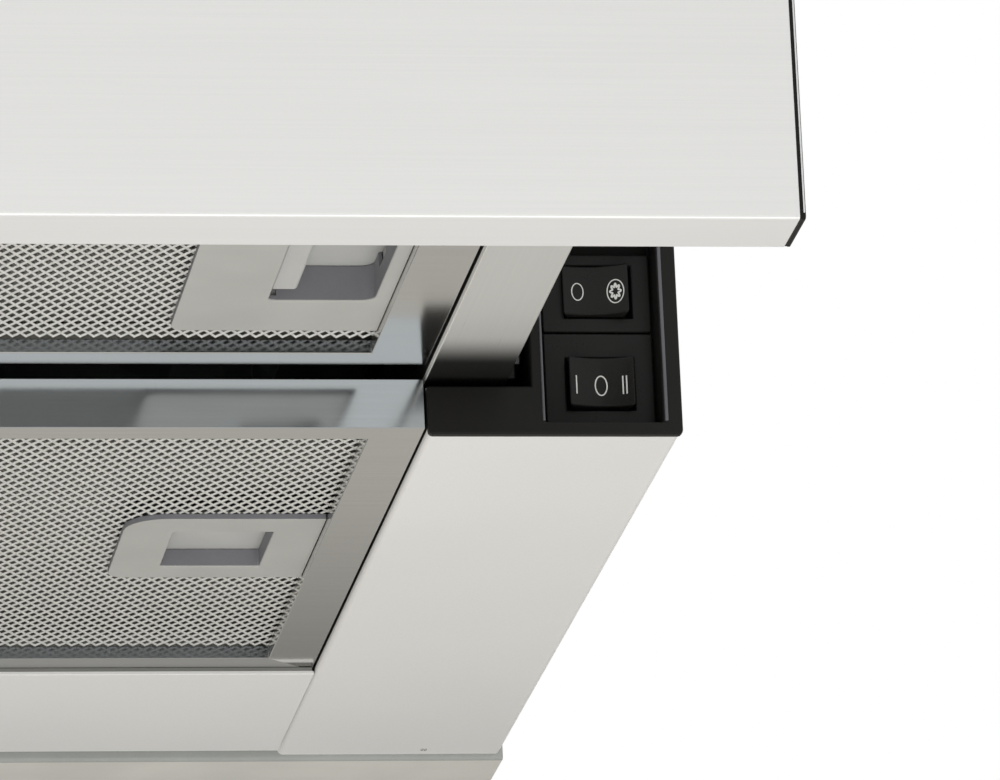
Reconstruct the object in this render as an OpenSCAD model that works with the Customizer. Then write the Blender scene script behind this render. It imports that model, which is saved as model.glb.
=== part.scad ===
// Pull-out range hood, drawn with its visor pulled out.
// X runs to the right, Y back to the wall and Z up. The origin is the middle of the four
// cabinet screws, on top of the tray.

/* [Tray] */
// Width over the side panels
tray_w = 596.6; // [590:0.2:600]
// Depth from the front face to the rear edge of the side panels
tray_d = 264; // [262:1:270]
// Height of the tray
tray_h = 58; // [58:1:64]
// Thickness of the steel sheet
sheet = 0.8; // [0.6:0.1:1]
// Width of the opening between the side panels
opening_w = 490; // [489.6:0.2:490.4]
// Distance between the cabinet screws, left to right
screw_dx = 560; // [556:1:562]
// Distance between the cabinet screws, front to back
screw_dy = 180; // [170:1:184]

/* [Visor] */
// How far the visor pulls out
travel = 126; // [100:1:126]
// Width of the front panel without its end caps
panel_w = 595.2; // [594:0.2:596]
// Height of the front panel
panel_h = 60; // [58:1:64]
// Depth of the front panel
panel_d = 18.5; // [18:0.5:20]
// Width of a slide arm
arm_w = 17.2; // [17:0.1:17.4]
// Height of a slide arm
arm_h = 22.7; // [22.5:0.1:22.9]

/* [Filters] */
// Thickness of both grease filters
filter_t = 10.7; // [10.5:0.1:10.9]
// Width of both filters
filter_w = 489.2; // [487:0.2:489.4]
// Depth of the rear filter
rear_filter_d = 193.6; // [193:0.1:193.6]
// Depth of the visor's filter
visor_filter_d = 120.2; // [118:0.2:120.4]
// Depth of the mesh behind the frame's face
mesh_set = 3.1; // [2.8:0.1:3.4]

/* [Switches] */
// Width of both rockers
rocker_w = 13.9; // [13.5:0.1:14.2]
// Height of both rockers
rocker_h = 10.8; // [10.4:0.1:10.9]
// Hollow of a rocker's face
rocker_dish = 1.7; // [1.2:0.1:1.9]
// Tilt of the light rocker at rest, with its off end pressed in
light_tilt = 8; // [6:1:9]

/* [Blower] */
// Diameter of the outlet, for a duct of the same inner size
outlet_dia = 150; // [148:1:150]
// Height of the outlet collar
outlet_h = 36; // [34:1:40]
// Width, depth and height of the motor housing
housing_size = [480, 216, 164]; // [160:1:480]
// Radius of the impeller
impeller_r = 50; // [48:0.5:50]
// Number of blades in each half of the impeller
blade_count = 30; // [20:1:32]

/* [Hidden] */
$fn = 48;

steel = [0.80, 0.80, 0.78];
brushed = [0.86, 0.86, 0.84];
frame_grey = [0.62, 0.61, 0.58];
black = [0.13, 0.13, 0.13];
plastic_grey = [0.64, 0.63, 0.60];
beige = [0.71, 0.70, 0.66];
clearance = 0.3;   // between pieces that only pass each other
running = 0.05;    // radial, between a pin and its bore
slip = 0.1;        // between flat sliding faces

// Tray
side_x = tray_w / 2;                 // outer face of a side panel
open_x = opening_w / 2;              // lip beside the opening
lip_h = 10.5;                        // height of the folded lips
lip_y1 = 254;                        // rear end of a side panel's lip
top_z = tray_h - sheet;              // under the top plate
flange_w = 8.2;                      // side panel's top flange
strip_y0 = rear_filter_d + 0.4;      // front fold of the rear panel
strip_y1 = 259.2;                    // rear edge of the rear panel
lamp_x = 90;
lamp_y = (strip_y0 + strip_y1) / 2;
lamp_r = 27;
plate_open = [464, 196];             // hole in the top plate under the blower

// Plastic housings at the tray's front corners
cap_t = 2;                           // thickness of a housing's face
cap_x1 = 298.8;                      // outer edge of a housing's face
cap_x0 = open_x;
tunnel_x1 = 267;                     // pocket that the slide arm runs through
tunnel_z = [lip_h, 38.6];
housing_d = 34;
recess_x = [269.8, 294.7];           // recess that holds the switches
recess_z = [2.7, 44];
recess_floor = 6.5;

// Slide arms and rails
arm_x0 = open_x + 0.2;
arm_z0 = 12.5;
arm_t = 1.2;
arm_back = 100;                      // rear end of an arm, visor out
rail_x0 = 252;
rail_x1 = 266;
rail_z = [17, 30.5];
rail_y = [4, 244];
bush_y = [4, 28];
shoe_y = [60, 96];

// Visor
panel_back = -travel - 2.6;          // rear face of the front panel
panel_front = panel_back - panel_d;
cap_plate = 1.2;                     // end cap's plate outside the panel
bar_y = panel_back - 0.8;            // rear face of the cross bar

// Filters
rear_filter_z = 1.8;
visor_filter_z = rear_filter_z + filter_t + 1.65;
visor_filter_y1 = -4.8;
visor_filter_y0 = visor_filter_y1 - visor_filter_d;
// Bars of the frames round the mesh: sides, front and rear
rear_filter_bars = [11.2, 8, 10.4];
visor_filter_bars = [12.5, 7.8, 7.8];
skin = 1;                            // wall of a filter's frame
mesh_t = 0.6;                        // one sheet of expanded metal
face_set = 1.85;                     // latch plate's face above the frame's face
plate_t = mesh_set - face_set;
bolt_z = [4.8, 7.55];                // latch bolt, above the frame's face
bolt_half = 5;
latch_throw = 5;
latch_tip = 3.2;                     // bolt's reach beyond the frame
rear_latch = [[190, 75], [233, 121.4]];
rear_pocket = [[201, 85], [223, 112.7]];
visor_latch = [[189, -91.4], [231.8, -22.4]];
visor_pocket = [[207, -71.3], [228.8, -42.6]];
rear_pocket_deep = 4.4;
visor_pocket_deep = 7.4;
slider_t = 1.3;

// Switches: middle of each bezel and rocker
bezel_x = [271.1, 294.3];
fan_bezel_z = [3.1, 24.1];
light_bezel_z = [24.5, 41.6];
bezel_t = 1.5;
fan_rocker_at = [282.85, 13.05];
light_rocker_at = [283.1, 33.3];
rocker_pivot_y = 8;
rocker_rise = 2.8;                   // rocker's ends in front of the bezel
trunnion_r = 1.5;
well_gap = 0.35;
switch_body_wall = 1.2;
switch_body_back = 26;

// Blower
wheel_y = tray_d / 2 - 38;
wheel_z = tray_h + 78;
wheel_half = 42;
wheel_inner = 40;
scroll_half = 48;
scroll_t = 1.2;
scroll_r0 = impeller_r + 4;
scroll_r1 = impeller_r + 30;
cutoff = 60;                         // angle of the scroll's cut-off
outlet_y = tray_d / 2;
collar_r = outlet_dia / 2 - 0.4;
collar_in = collar_r - 2;
housing_top = tray_h + housing_size[2];
flap_z = housing_top + 14;
flap_pin_r = 1.5;
flap_r = collar_in - 0.8;
flap_t = 1.2;
shaft_r = 4;
motor_r = 33;
motor_x = [-62, -6];

// ---- helpers ----

module placed() translate([0, -tray_d / 2, -tray_h]) children();

module block(from, to) translate(from) cube(to - from);

// A section in (x, z), carried along y
module along_y(y0, y1) translate([0, y1, 0]) rotate([90, 0, 0]) linear_extrude(y1 - y0) children();

// A section in (y, z), carried along x
module along_x(x0, x1) translate([x0, 0, 0]) rotate([90, 0, 90]) linear_extrude(x1 - x0) children();

module left_hand() mirror([1, 0, 0]) children();

module rounded(from, to, r) {
    size = to - from;
    translate(from + [r, 0]) square([size[0] - 2 * r, size[1]]);
    translate(from + [0, r]) square([size[0], size[1] - 2 * r]);
    for (x = [from[0] + r, to[0] - r], y = [from[1] + r, to[1] - r]) translate([x, y]) circle(r);
}

// ---- tray ----

module side_panel() difference() {
    union() {
        block([open_x, 0, 0], [side_x, tray_d, sheet]);
        block([open_x, 0, 0], [open_x + sheet, lip_y1, lip_h]);
        block([side_x - sheet, 0, 0], [side_x, tray_d, top_z]);
        block([side_x - flange_w, 0, top_z - sheet], [side_x, tray_d - 1, top_z]);
    }
    keeper_y = (rear_pocket[0][1] + rear_pocket[1][1]) / 2;
    keeper_z = rear_filter_z + bolt_z[0] - clearance;
    block([open_x - 1, keeper_y - bolt_half - 0.5, keeper_z],
          [open_x + 2, keeper_y + bolt_half + 0.5, rear_filter_z + bolt_z[1] + clearance]);
}
module side_panel_right() color(steel) placed() side_panel();
module side_panel_left() color(steel) placed() left_hand() side_panel();

module rear_panel() color(steel) placed() {
    half = open_x - 0.25;
    notch = 4.6;
    difference() {
        union() {
            block([-half, strip_y0, 0], [half, strip_y1, sheet]);
            block([-half, strip_y0, 0], [half, strip_y0 + sheet, lip_h]);
            for (x = [-half, half - sheet]) block([x, strip_y0, 0], [x + sheet, strip_y1 - notch, lip_h]);
        }
        for (x = [-lamp_x, lamp_x]) translate([x, lamp_y, -1]) cylinder(r=lamp_r, h=3);
    }
}

module rear_wall() color(steel) placed() {
    half = side_x - sheet;
    block([-half, tray_d - sheet, sheet], [half, tray_d, top_z]);
    block([-half, strip_y1 - 4.2, sheet], [half, tray_d, 2 * sheet]);
}

module top_plate() color(steel) placed() {
    middle = tray_d / 2;
    difference() {
        block([-side_x, 0, top_z], [side_x, tray_d, tray_h]);
        block([-plate_open[0] / 2, middle - plate_open[1] / 2, top_z - 1],
              [plate_open[0] / 2, middle + plate_open[1] / 2, tray_h + 1]);
        for (x = [-1, 1], y = [-1, 1])
            translate([x * screw_dx / 2, middle + y * screw_dy / 2, top_z - 1]) cylinder(r=3.4, h=3);
        housing_screw_places() translate([0, 0, -2]) cylinder(r=1.9, h=3);
    }
}

module front_beam() color(steel) placed() {
    beam_y = 2;
    half = open_x + 1.2;
    block([-half, beam_y, 40], [half, beam_y + sheet, top_z]);
    block([-half, beam_y, 40], [half, beam_y + 12, 40 + sheet]);
    block([-half, beam_y, top_z - sheet], [half, beam_y + 12, top_z]);
}

// Clinch nuts: thread modelled at its core diameter
module clinch_nuts() color(frame_grey) placed()
    for (x = [-1, 1], y = [-1, 1])
        translate([x * screw_dx / 2, tray_d / 2 + y * screw_dy / 2, 0]) difference() {
            union() {
                translate([0, 0, top_z - 5]) cylinder(r=5, h=5);
                translate([0, 0, top_z]) cylinder(r=3.1, h=sheet);
            }
            translate([0, 0, top_z - 6]) cylinder(r=2.1, h=8);
        }

module filler_strip() color(beige) placed() along_x(-300, 300) {
    nose = [tray_d, -1.4];
    rounded(nose, nose + [26, 2.2], 1.05);
    translate([tray_d, -0.3]) square([1.6, 30]);
    translate([tray_d + 24.4, -0.3]) square([1.6, 30]);
}

// ---- lamps ----

module lamp_ring() translate([lamp_x, lamp_y, 0]) rotate_extrude()
    polygon([[22, -1.6], [29, -1.6], [30, -0.8], [30, 0], [26.6, 0], [26.6, 10], [25, 10], [25, 0], [22, 0]]);
module lamp_lens() translate([lamp_x, lamp_y, 0]) cylinder(r=24.6, h=2);
module lamp_module() translate([lamp_x, lamp_y, 2]) {
    cylinder(r=24.6, h=6);
    for (i = [-3:3]) translate([i * 6 - 0.8, -sqrt(22 * 22 - 36 * i * i), 6])
        cube([1.6, 2 * sqrt(22 * 22 - 36 * i * i), 8]);
}
module lamp_ring_right() color(frame_grey) placed() lamp_ring();
module lamp_ring_left() color(frame_grey) placed() left_hand() lamp_ring();
module lamp_lens_right() color([0.95, 0.95, 0.92]) placed() lamp_lens();
module lamp_lens_left() color([0.95, 0.95, 0.92]) placed() left_hand() lamp_lens();
module lamp_module_right() color(frame_grey) placed() lamp_module();
module lamp_module_left() color(frame_grey) placed() left_hand() lamp_module();

// ---- corner housings and switches ----

module corner_housing() difference() {
    union() {
        along_y(-cap_t, 0) rounded([cap_x0, 0], [cap_x1, top_z], 1);
        block([cap_x0 + sheet + 0.6, 0, 1], [side_x - sheet - 0.2, housing_d, top_z - 1.2]);
    }
    block([open_x - 1, -cap_t - 1, tunnel_z[0]], [tunnel_x1, housing_d + 1, tunnel_z[1]]);
    block([tunnel_x1 + 2, recess_floor + 2, 3], [side_x - 2.8, housing_d + 1, 54]);
    block([open_x + 3.2, 2, tunnel_z[1] + 2], [tunnel_x1 + 3, housing_d + 1, 54]);
}

module switch_housing() color(black) placed() difference() {
    corner_housing();
    block([recess_x[0], -cap_t - 1, recess_z[0]], [recess_x[1], recess_floor, recess_z[1]]);
    switch_hole(fan_rocker_at);
    switch_hole(light_rocker_at);
}
module end_housing() color(black) placed() left_hand() corner_housing();

module switch_outline(at, grow) {
    w = rocker_w + 2 * (well_gap + switch_body_wall + grow);
    h = rocker_h + 2 * (well_gap + switch_body_wall + grow);
    translate(at - [w, h] / 2) square([w, h]);
}
module switch_hole(at) along_y(recess_floor - 1, recess_floor + 3) switch_outline(at, 0.2);

module switch_body(at, bezel_z) difference() {
    union() {
        along_y(recess_floor - bezel_t, recess_floor)
            rounded([bezel_x[0], bezel_z[0]], [bezel_x[1], bezel_z[1]], 0.8);
        along_y(recess_floor, switch_body_back) switch_outline(at, 0);
    }
    w = rocker_w + 2 * well_gap;
    h = rocker_h + 2 * well_gap;
    translate([at[0] - w / 2, recess_floor - bezel_t - 1, at[1] - h / 2]) cube([w, 11, h]);
    translate([at[0], rocker_pivot_y, at[1] - rocker_h / 2 - 1.2])
        cylinder(r=trunnion_r + running, h=rocker_h + 2.4);
}
module light_switch_body() color(black) placed() switch_body(light_rocker_at, light_bezel_z);
module fan_switch_body() color(black) placed() switch_body(fan_rocker_at, fan_bezel_z);

module switch_terminals() color([0.8, 0.7, 0.4]) placed()
    for (at = [fan_rocker_at, light_rocker_at], x = [-4.5, 0, 4.5])
        translate([at[0] + x - 0.4, switch_body_back, at[1] - 3]) cube([0.8, 9, 6]);

// A rocker about its own pivot: dished face to the front, sides drawn in towards the back
module rocker() {
    half = rocker_w / 2;
    face = recess_floor - bezel_t - rocker_rise - rocker_pivot_y;
    dish = [for (i = [0:10]) [half - i * rocker_w / 10, face + rocker_dish * (1 - pow(1 - i / 5, 2))]];
    translate([0, 0, -rocker_h / 2]) linear_extrude(rocker_h)
        polygon(concat(dish, [[-half, face], [-half + 0.75, -1.5], [-5.2, 2.6], [5.2, 2.6], [half - 0.75, -1.5]]));
    translate([0, 0, -rocker_h / 2 - 1]) cylinder(r=trunnion_r, h=rocker_h + 2);
}
module light_rocker() color(black) placed()
    translate([light_rocker_at[0], rocker_pivot_y, light_rocker_at[1]]) rotate([0, 0, -light_tilt]) rocker();
module fan_rocker() color(black) placed()
    translate([fan_rocker_at[0], rocker_pivot_y, fan_rocker_at[1]]) rocker();

// ---- guide rails ----

module guide_rail() {
    web_x = rail_x1 - arm_t;
    block([web_x, rail_y[0], rail_z[0]], [rail_x1, rail_y[1], rail_z[1]]);
    for (z = [rail_z[0], rail_z[1] - arm_t]) block([rail_x0, rail_y[0], z], [rail_x1, rail_y[1], z + arm_t]);
    block([web_x, housing_d + 4, rail_z[0]], [rail_x1, rail_y[1], top_z]);
    block([rail_x0, housing_d + 4, top_z - arm_t], [rail_x1, rail_y[1], top_z]);
    stop_r = 2.2;
    translate([rail_x0 + 1, shoe_y[0] - clearance - stop_r, (rail_z[0] + rail_z[1]) / 2])
        rotate([0, 90, 0]) cylinder(r=stop_r, h=rail_x1 - rail_x0);
}
module guide_rail_right() color(frame_grey) placed() guide_rail();
module guide_rail_left() color(frame_grey) placed() left_hand() guide_rail();

// Nylon bush round the rail's front end: its pads guide the arm's two flanges
module guide_bush() difference() {
    block([rail_x0 - 2.5, bush_y[0], arm_z0 + arm_t + slip],
          [rail_x1 - arm_t, bush_y[1], arm_z0 + arm_h - arm_t - slip]);
    block([rail_x0, bush_y[0] - 1, rail_z[0]], [rail_x1, bush_y[1] + 1, rail_z[1]]);
}
module guide_bush_right() color([0.9, 0.9, 0.86]) placed() guide_bush();
module guide_bush_left() color([0.9, 0.9, 0.86]) placed() left_hand() guide_bush();

module end_bumper() {
    y0 = shoe_y[1] + travel + 0.4;
    block([rail_x0 + 3, y0, rail_z[0] + arm_t], [rail_x1 - arm_t, y0 + 9, rail_z[1] - arm_t]);
}
module end_bumpers() color(black) placed() {
    end_bumper();
    left_hand() end_bumper();
}

// ---- visor ----

module front_panel() color(brushed) placed() along_x(-panel_w / 2, panel_w / 2) difference() {
    rounded([panel_front, 0], [panel_back, panel_h], 1.1);
    rounded([panel_front + sheet, sheet], [panel_back - sheet, panel_h - sheet], 0.4);
    translate([panel_back - 2, 8]) square([3, panel_h - 8 - sheet]);
}

module end_cap() {
    edge = 0.5;
    plate_x = panel_w / 2;
    along_x(plate_x, plate_x + cap_plate - edge) rounded([panel_front, 0], [panel_back, panel_h], 1.1);
    along_x(plate_x, plate_x + cap_plate)
        rounded([panel_front + edge, edge], [panel_back - edge, panel_h - edge], 0.7);
    along_x(plate_x - 8, plate_x)
        translate([panel_front + sheet + 0.3, sheet + 0.3]) square([panel_d - 2 * sheet - 0.6, panel_h - 2.2]);
}
module end_cap_right() color(black) placed() end_cap();
module end_cap_left() color(black) placed() left_hand() end_cap();

module cross_bar() color(frame_grey) placed() difference() {
    half = panel_w / 2 - 9;
    union() {
        block([-half, bar_y - sheet, 2 * sheet], [half, bar_y, panel_h - 2 * sheet]);
        block([-half, bar_y - 10, panel_h - 3 * sheet], [half, bar_y, panel_h - 2 * sheet]);
    }
    for (x = [-150, 150])
        block([x - 8.5, bar_y - 2, visor_filter_z + 3.7], [x + 8.5, bar_y + 1, visor_filter_z + 5.8]);
    for (s = [-1, 1]) arm_screw_places(s) cylinder(r=2.3, h=20, center=true);
}

module visor_cover() color(frame_grey) placed() {
    half = arm_x0 + arm_w;
    z = arm_z0 + arm_h;
    block([-half, bar_y, z], [half, 10, z + sheet]);
}

module arm() difference() {
    x1 = arm_x0 + arm_w;
    z1 = arm_z0 + arm_h;
    union() {
        block([arm_x0, bar_y, arm_z0], [arm_x0 + arm_t, arm_back, z1]);
        block([arm_x0, bar_y, arm_z0], [x1, arm_back, arm_z0 + arm_t]);
        block([arm_x0, bar_y, z1 - arm_t], [x1, arm_back, z1]);
        block([arm_x0, bar_y, arm_z0], [x1, bar_y + arm_t, z1]);
    }
    keeper_y = (visor_pocket[0][1] + visor_pocket[1][1]) / 2;
    block([arm_x0 - 1, keeper_y - bolt_half - 0.5, visor_filter_z + bolt_z[0] - clearance],
          [arm_x0 + 2, keeper_y + bolt_half + 0.5, visor_filter_z + bolt_z[1] + clearance]);
    arm_screw_places(1) cylinder(r=2.3, h=20, center=true);
}
module arm_right() color(steel) placed() arm();
module arm_left() color(steel) placed() left_hand() arm();

module glide_shoe() block([arm_x0 + arm_t, shoe_y[0], rail_z[0] + arm_t + slip],
                          [rail_x1 - arm_t - slip, shoe_y[1], rail_z[1] - arm_t - slip]);
module glide_shoes() color([0.9, 0.9, 0.86]) placed() {
    glide_shoe();
    left_hand() glide_shoe();
}

module arm_screw_places(side)
    for (z = [18, 29.6]) translate([side * (arm_x0 + 9), bar_y, z]) rotate([90, 0, 0]) children();
module visor_screws() color(frame_grey) placed() for (s = [-1, 1]) arm_screw_places(s) {
    translate([0, 0, -arm_t - 1.8]) cylinder(r=3.4, h=1.8);
    translate([0, 0, -arm_t]) cylinder(r=2, h=8);
}

// ---- grease filters and their latches ----

module filter_frame(y0, y1, z, bars, slot_y) difference() {
    half = filter_w / 2;
    inner = half - bars[0];
    block([-half, y0, z], [half, y1, z + filter_t]);
    block([-half + skin, y0 + skin, z + mesh_set], [half - skin, y1 - skin, z + filter_t - skin]);
    block([-inner, y0 + bars[1], z - 1], [inner, y1 - bars[2], z + filter_t + 1]);
    block([half - 2, slot_y - bolt_half - 0.5, z + bolt_z[0] - clearance],
          [half + 1, slot_y + bolt_half + 0.5, z + bolt_z[1] + clearance]);
}

module filter_mesh(y0, y1, z, latch_pocket) difference() {
    half = filter_w / 2 - skin - 0.2;
    from = [-half, y0 + skin + 0.2];
    to = [half, y1 - skin - 0.2];
    well = latch_well(latch_pocket);
    for (under = [mesh_set, filter_t - skin - mesh_t])
        block([from[0], from[1], z + under], [to[0], to[1], z + under + mesh_t]);
    block([well[0][0] - 0.3, well[0][1] - 0.3, z], [half + 1, well[1][1] + 0.3, z + filter_t]);
}

// Outside of the box behind a latch's pocket, in (x, y)
function latch_well(pocket) = [pocket[0] - [latch_throw + 4, 1.8], pocket[1] + [3, 1.8]];

module latch_plate(plate, pocket, deep, z, corner_r) {
    face = z + face_set;
    inside = face + deep + slider_t + clearance;
    well = latch_well(pocket);
    bolt_y = (pocket[0][1] + pocket[1][1]) / 2;
    difference() {
        union() {
            translate([0, 0, face]) linear_extrude(plate_t) difference() {
                rounded(plate[0], plate[1], corner_r);
                translate(plate[1] - [4, 100]) square([8, 200]);
            }
            block([plate[1][0] - 8, plate[0][1], face], [plate[1][0], plate[1][1], face + plate_t]);
            block(concat(well[0], face), concat(well[1], inside + 1));
        }
        block(concat(pocket[0], face - 1), concat(pocket[1], inside));
        block([well[0][0] + 1, pocket[0][1] - 0.8, face + plate_t],
              [well[1][0] - 1, pocket[1][1] + 0.8, inside]);
        block([pocket[1][0] - 1, bolt_y - bolt_half - clearance, z + bolt_z[0] - clearance],
              [well[1][0] + 1, bolt_y + bolt_half + clearance, z + bolt_z[1] + clearance]);
    }
}

// The slider has the pocket's floor, a finger tab at its left end and the bolt at its right end
module latch_slider(pocket, deep, z, tab_w, tab_short) {
    bolt_y = (pocket[0][1] + pocket[1][1]) / 2;
    floor_z = [z + face_set + deep, z + face_set + deep + slider_t];
    from = pocket[0] - [0, 0.5];
    to = pocket[1] + [-0.5, 0.5];
    block([from[0] - tab_short[0], from[1], floor_z[0]], [to[0] + 1.8, to[1], floor_z[1]]);
    block([from[0] - tab_short[0], from[1], z + mesh_set + slip],
          [from[0] - tab_short[0] + tab_w, to[1] - tab_short[1], floor_z[1]]);
    block([to[0], bolt_y - bolt_half, z + bolt_z[0]],
          [filter_w / 2 + latch_tip, bolt_y + bolt_half, z + bolt_z[1]]);
    block([to[0], bolt_y - bolt_half, z + bolt_z[0]], [to[0] + 1.8, bolt_y + bolt_half, floor_z[1]]);
}

module rear_filter_frame() color(frame_grey) placed()
    filter_frame(0, rear_filter_d, rear_filter_z, rear_filter_bars,
                 (rear_pocket[0][1] + rear_pocket[1][1]) / 2);
module rear_filter_mesh() color(frame_grey) placed()
    filter_mesh(0, rear_filter_d, rear_filter_z, rear_pocket);
module rear_latch_plate() color(plastic_grey) placed()
    latch_plate(rear_latch, rear_pocket, rear_pocket_deep, rear_filter_z, 4);
module rear_latch_slider() color(plastic_grey) placed()
    latch_slider(rear_pocket, rear_pocket_deep, rear_filter_z, 1.6, [1.6, 0]);

module visor_filter_frame() color(frame_grey) placed() {
    filter_frame(visor_filter_y0, visor_filter_y1, visor_filter_z, visor_filter_bars,
                 (visor_pocket[0][1] + visor_pocket[1][1]) / 2);
    for (x = [-150, 150])
        block([x - 8, bar_y - 1.6, visor_filter_z + 4], [x + 8, visor_filter_y0 + skin, visor_filter_z + 5.5]);
}
module visor_filter_mesh() color(frame_grey) placed()
    filter_mesh(visor_filter_y0, visor_filter_y1, visor_filter_z, visor_pocket);
module visor_latch_plate() color(plastic_grey) placed()
    latch_plate(visor_latch, visor_pocket, visor_pocket_deep, visor_filter_z, 3);
module visor_latch_slider() color(plastic_grey) placed()
    latch_slider(visor_pocket, visor_pocket_deep, visor_filter_z, 5.3, [-0.4, 4]);

// ---- motor housing and outlet ----

module housing_screw_places() for (x = [-200, 0, 200], y = [-1, 1])
    translate([x, tray_d / 2 + y * (housing_size[1] / 2 + 5), tray_h]) children();

module motor_housing() color(steel) placed() {
    half = [housing_size[0] / 2, housing_size[1] / 2];
    middle = [0, tray_d / 2];
    from = middle - half;
    to = middle + half;
    difference() {
        union() {
            block(concat(from, tray_h), concat(to, housing_top));
            block(concat(from - [10, 10], tray_h), concat(to + [10, 10], tray_h + sheet));
        }
        block(concat(from + [sheet, sheet], tray_h - 1), concat(to - [sheet, sheet], housing_top - sheet));
        translate([0, outlet_y, housing_top - 3]) cylinder(r=collar_in, h=6);
        housing_screw_places() translate([0, 0, -1]) cylinder(r=1.9, h=4);
    }
}

module housing_screws() color(frame_grey) placed() housing_screw_places() {
    translate([0, 0, sheet]) cylinder(r=3.6, h=2);
    translate([0, 0, -6]) cylinder(r=1.6, h=7.5);
}

module outlet_collar() color(black) placed() translate([0, outlet_y, housing_top]) difference() {
    rotate_extrude() polygon([
        [collar_in, 0], [collar_r + 12, 0], [collar_r + 12, 2.4], [collar_r, 2.4],
        [collar_r, outlet_h - 1], [collar_r - 0.6, outlet_h], [collar_in, outlet_h],
        [collar_in, 12.4], [collar_in - 2.4, 12.4], [collar_in - 2.4, 10.6], [collar_in, 10.6]
    ]);
    translate([-outlet_dia, 0, flap_z - housing_top]) rotate([0, 90, 0])
        cylinder(r=flap_pin_r + clearance, h=2 * outlet_dia);
}

module flap_pin() color(frame_grey) placed() translate([-collar_r + 0.3, outlet_y, flap_z])
    rotate([0, 90, 0]) cylinder(r=flap_pin_r, h=2 * collar_r - 0.6);

// Half disc behind the pin, with two knuckles round it
module flap(knuckles) difference() {
    gap = 3.8;
    union() {
        intersection() {
            translate([0, 0, -flap_t / 2]) cylinder(r=flap_r, h=flap_t);
            block([-flap_r, gap, -flap_t], [flap_r, flap_r, flap_t]);
        }
        for (x = knuckles) {
            translate([x, 0, 0]) rotate([0, 90, 0]) cylinder(r=3.2, h=16);
            block([x, 0, -flap_t / 2], [x + 16, gap + 1, flap_t / 2]);
        }
    }
    translate([-flap_r, 0, 0]) rotate([0, 90, 0]) cylinder(r=flap_pin_r + running, h=2 * flap_r);
}
module flap_rear() color(black) placed() translate([0, outlet_y, flap_z]) flap([-58, 42]);
module flap_front() color(black) placed() translate([0, outlet_y, flap_z]) rotate([0, 0, 180]) flap([-38, 22]);

// ---- blower ----

// Spiral of the scroll's inner face, from the cut-off round to the outlet
function spiral(grow) = [for (i = [0:30]) let (a = cutoff + i * (360 - cutoff) / 30,
    r = scroll_r0 + grow + (scroll_r1 - scroll_r0) * i / 30) [r * cos(a), r * sin(a)]];

module scroll_outline(grow) {
    top = housing_top - sheet - wheel_z;
    polygon(concat(spiral(grow), [[scroll_r1 + grow, top],
        [scroll_r0 * cos(cutoff) - grow - 1, top]]));
}

module scroll_wall() color(steel) placed() translate([0, wheel_y, wheel_z]) difference() {
    along_x(-scroll_half, scroll_half) scroll_outline(scroll_t);
    along_x(-scroll_half - 1, scroll_half + 1) scroll_outline(0);
    translate([-scroll_half - 1, scroll_r0 * cos(cutoff), housing_top - sheet - wheel_z - 0.05])
        cube([2 * scroll_half + 2, scroll_r1 - scroll_r0 * cos(cutoff), 2]);
}

module inlet_plate() translate([0, wheel_y, wheel_z]) {
    mouth = wheel_inner + 4;
    difference() {
        along_x(scroll_half, scroll_half + scroll_t) scroll_outline(scroll_t);
        translate([scroll_half - 1, 0, 0]) rotate([0, 90, 0]) cylinder(r=mouth, h=4);
    }
    translate([scroll_half, 0, 0]) rotate([0, 90, 0]) rotate_extrude()
        polygon([[mouth - 1, -3], [mouth, -3], [mouth + 0.2, scroll_t], [mouth + 4, 4], [mouth + 3, 4.6], [mouth - 1, 1]]);
}
module inlet_plate_right() color(steel) placed() inlet_plate();
module inlet_plate_left() color(steel) placed() left_hand() inlet_plate();

// One forward-curved blade between the two radii, as an arc of even thickness
module blade() {
    curve_r = 9;
    t = 0.6;
    arc = [for (i = [0:4]) let (a = -65 + i * 27.5) [curve_r * cos(a), curve_r * sin(a)]];
    middle = [wheel_inner + 5 - curve_r * 0.55, -4];
    linear_extrude(2 * wheel_half, center=true) translate(middle) rotate(22)
        polygon(concat(arc, [for (i = [4:-1:0]) arc[i] * (curve_r - t) / curve_r]));
}

module impeller() color(steel) placed() translate([0, wheel_y, wheel_z]) rotate([0, 90, 0]) {
    intersection() {
        union() for (i = [0:blade_count - 1]) rotate(i * 360 / blade_count) blade();
        cylinder(r=impeller_r - 0.4, h=3 * wheel_half, center=true);
    }
    difference() {
        union() {
            cylinder(r=impeller_r - 0.2, h=1.6, center=true);
            translate([0, 0, -3]) cylinder(r=10, h=10);
        }
        cylinder(r=shaft_r, h=40, center=true);
    }
    for (z = [-wheel_half, wheel_half - 1.4]) translate([0, 0, z]) difference() {
        cylinder(r=impeller_r, h=1.4);
        translate([0, 0, -1]) cylinder(r=wheel_inner + 1, h=4);
    }
}

module motor_shaft() color(frame_grey) placed() translate([-34, wheel_y, wheel_z])
    rotate([0, 90, 0]) cylinder(r=shaft_r, h=44);

module motor() color(frame_grey) placed() translate([0, wheel_y, wheel_z]) rotate([0, 90, 0]) difference() {
    union() {
        translate([0, 0, motor_x[0] + 4]) cylinder(r=motor_r, h=motor_x[1] - motor_x[0] - 8);
        translate([0, 0, motor_x[0]]) cylinder(r=motor_r - 5, h=motor_x[1] - motor_x[0]);
    }
    translate([0, 0, -36]) cylinder(r=shaft_r + running, h=40);
}

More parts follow.
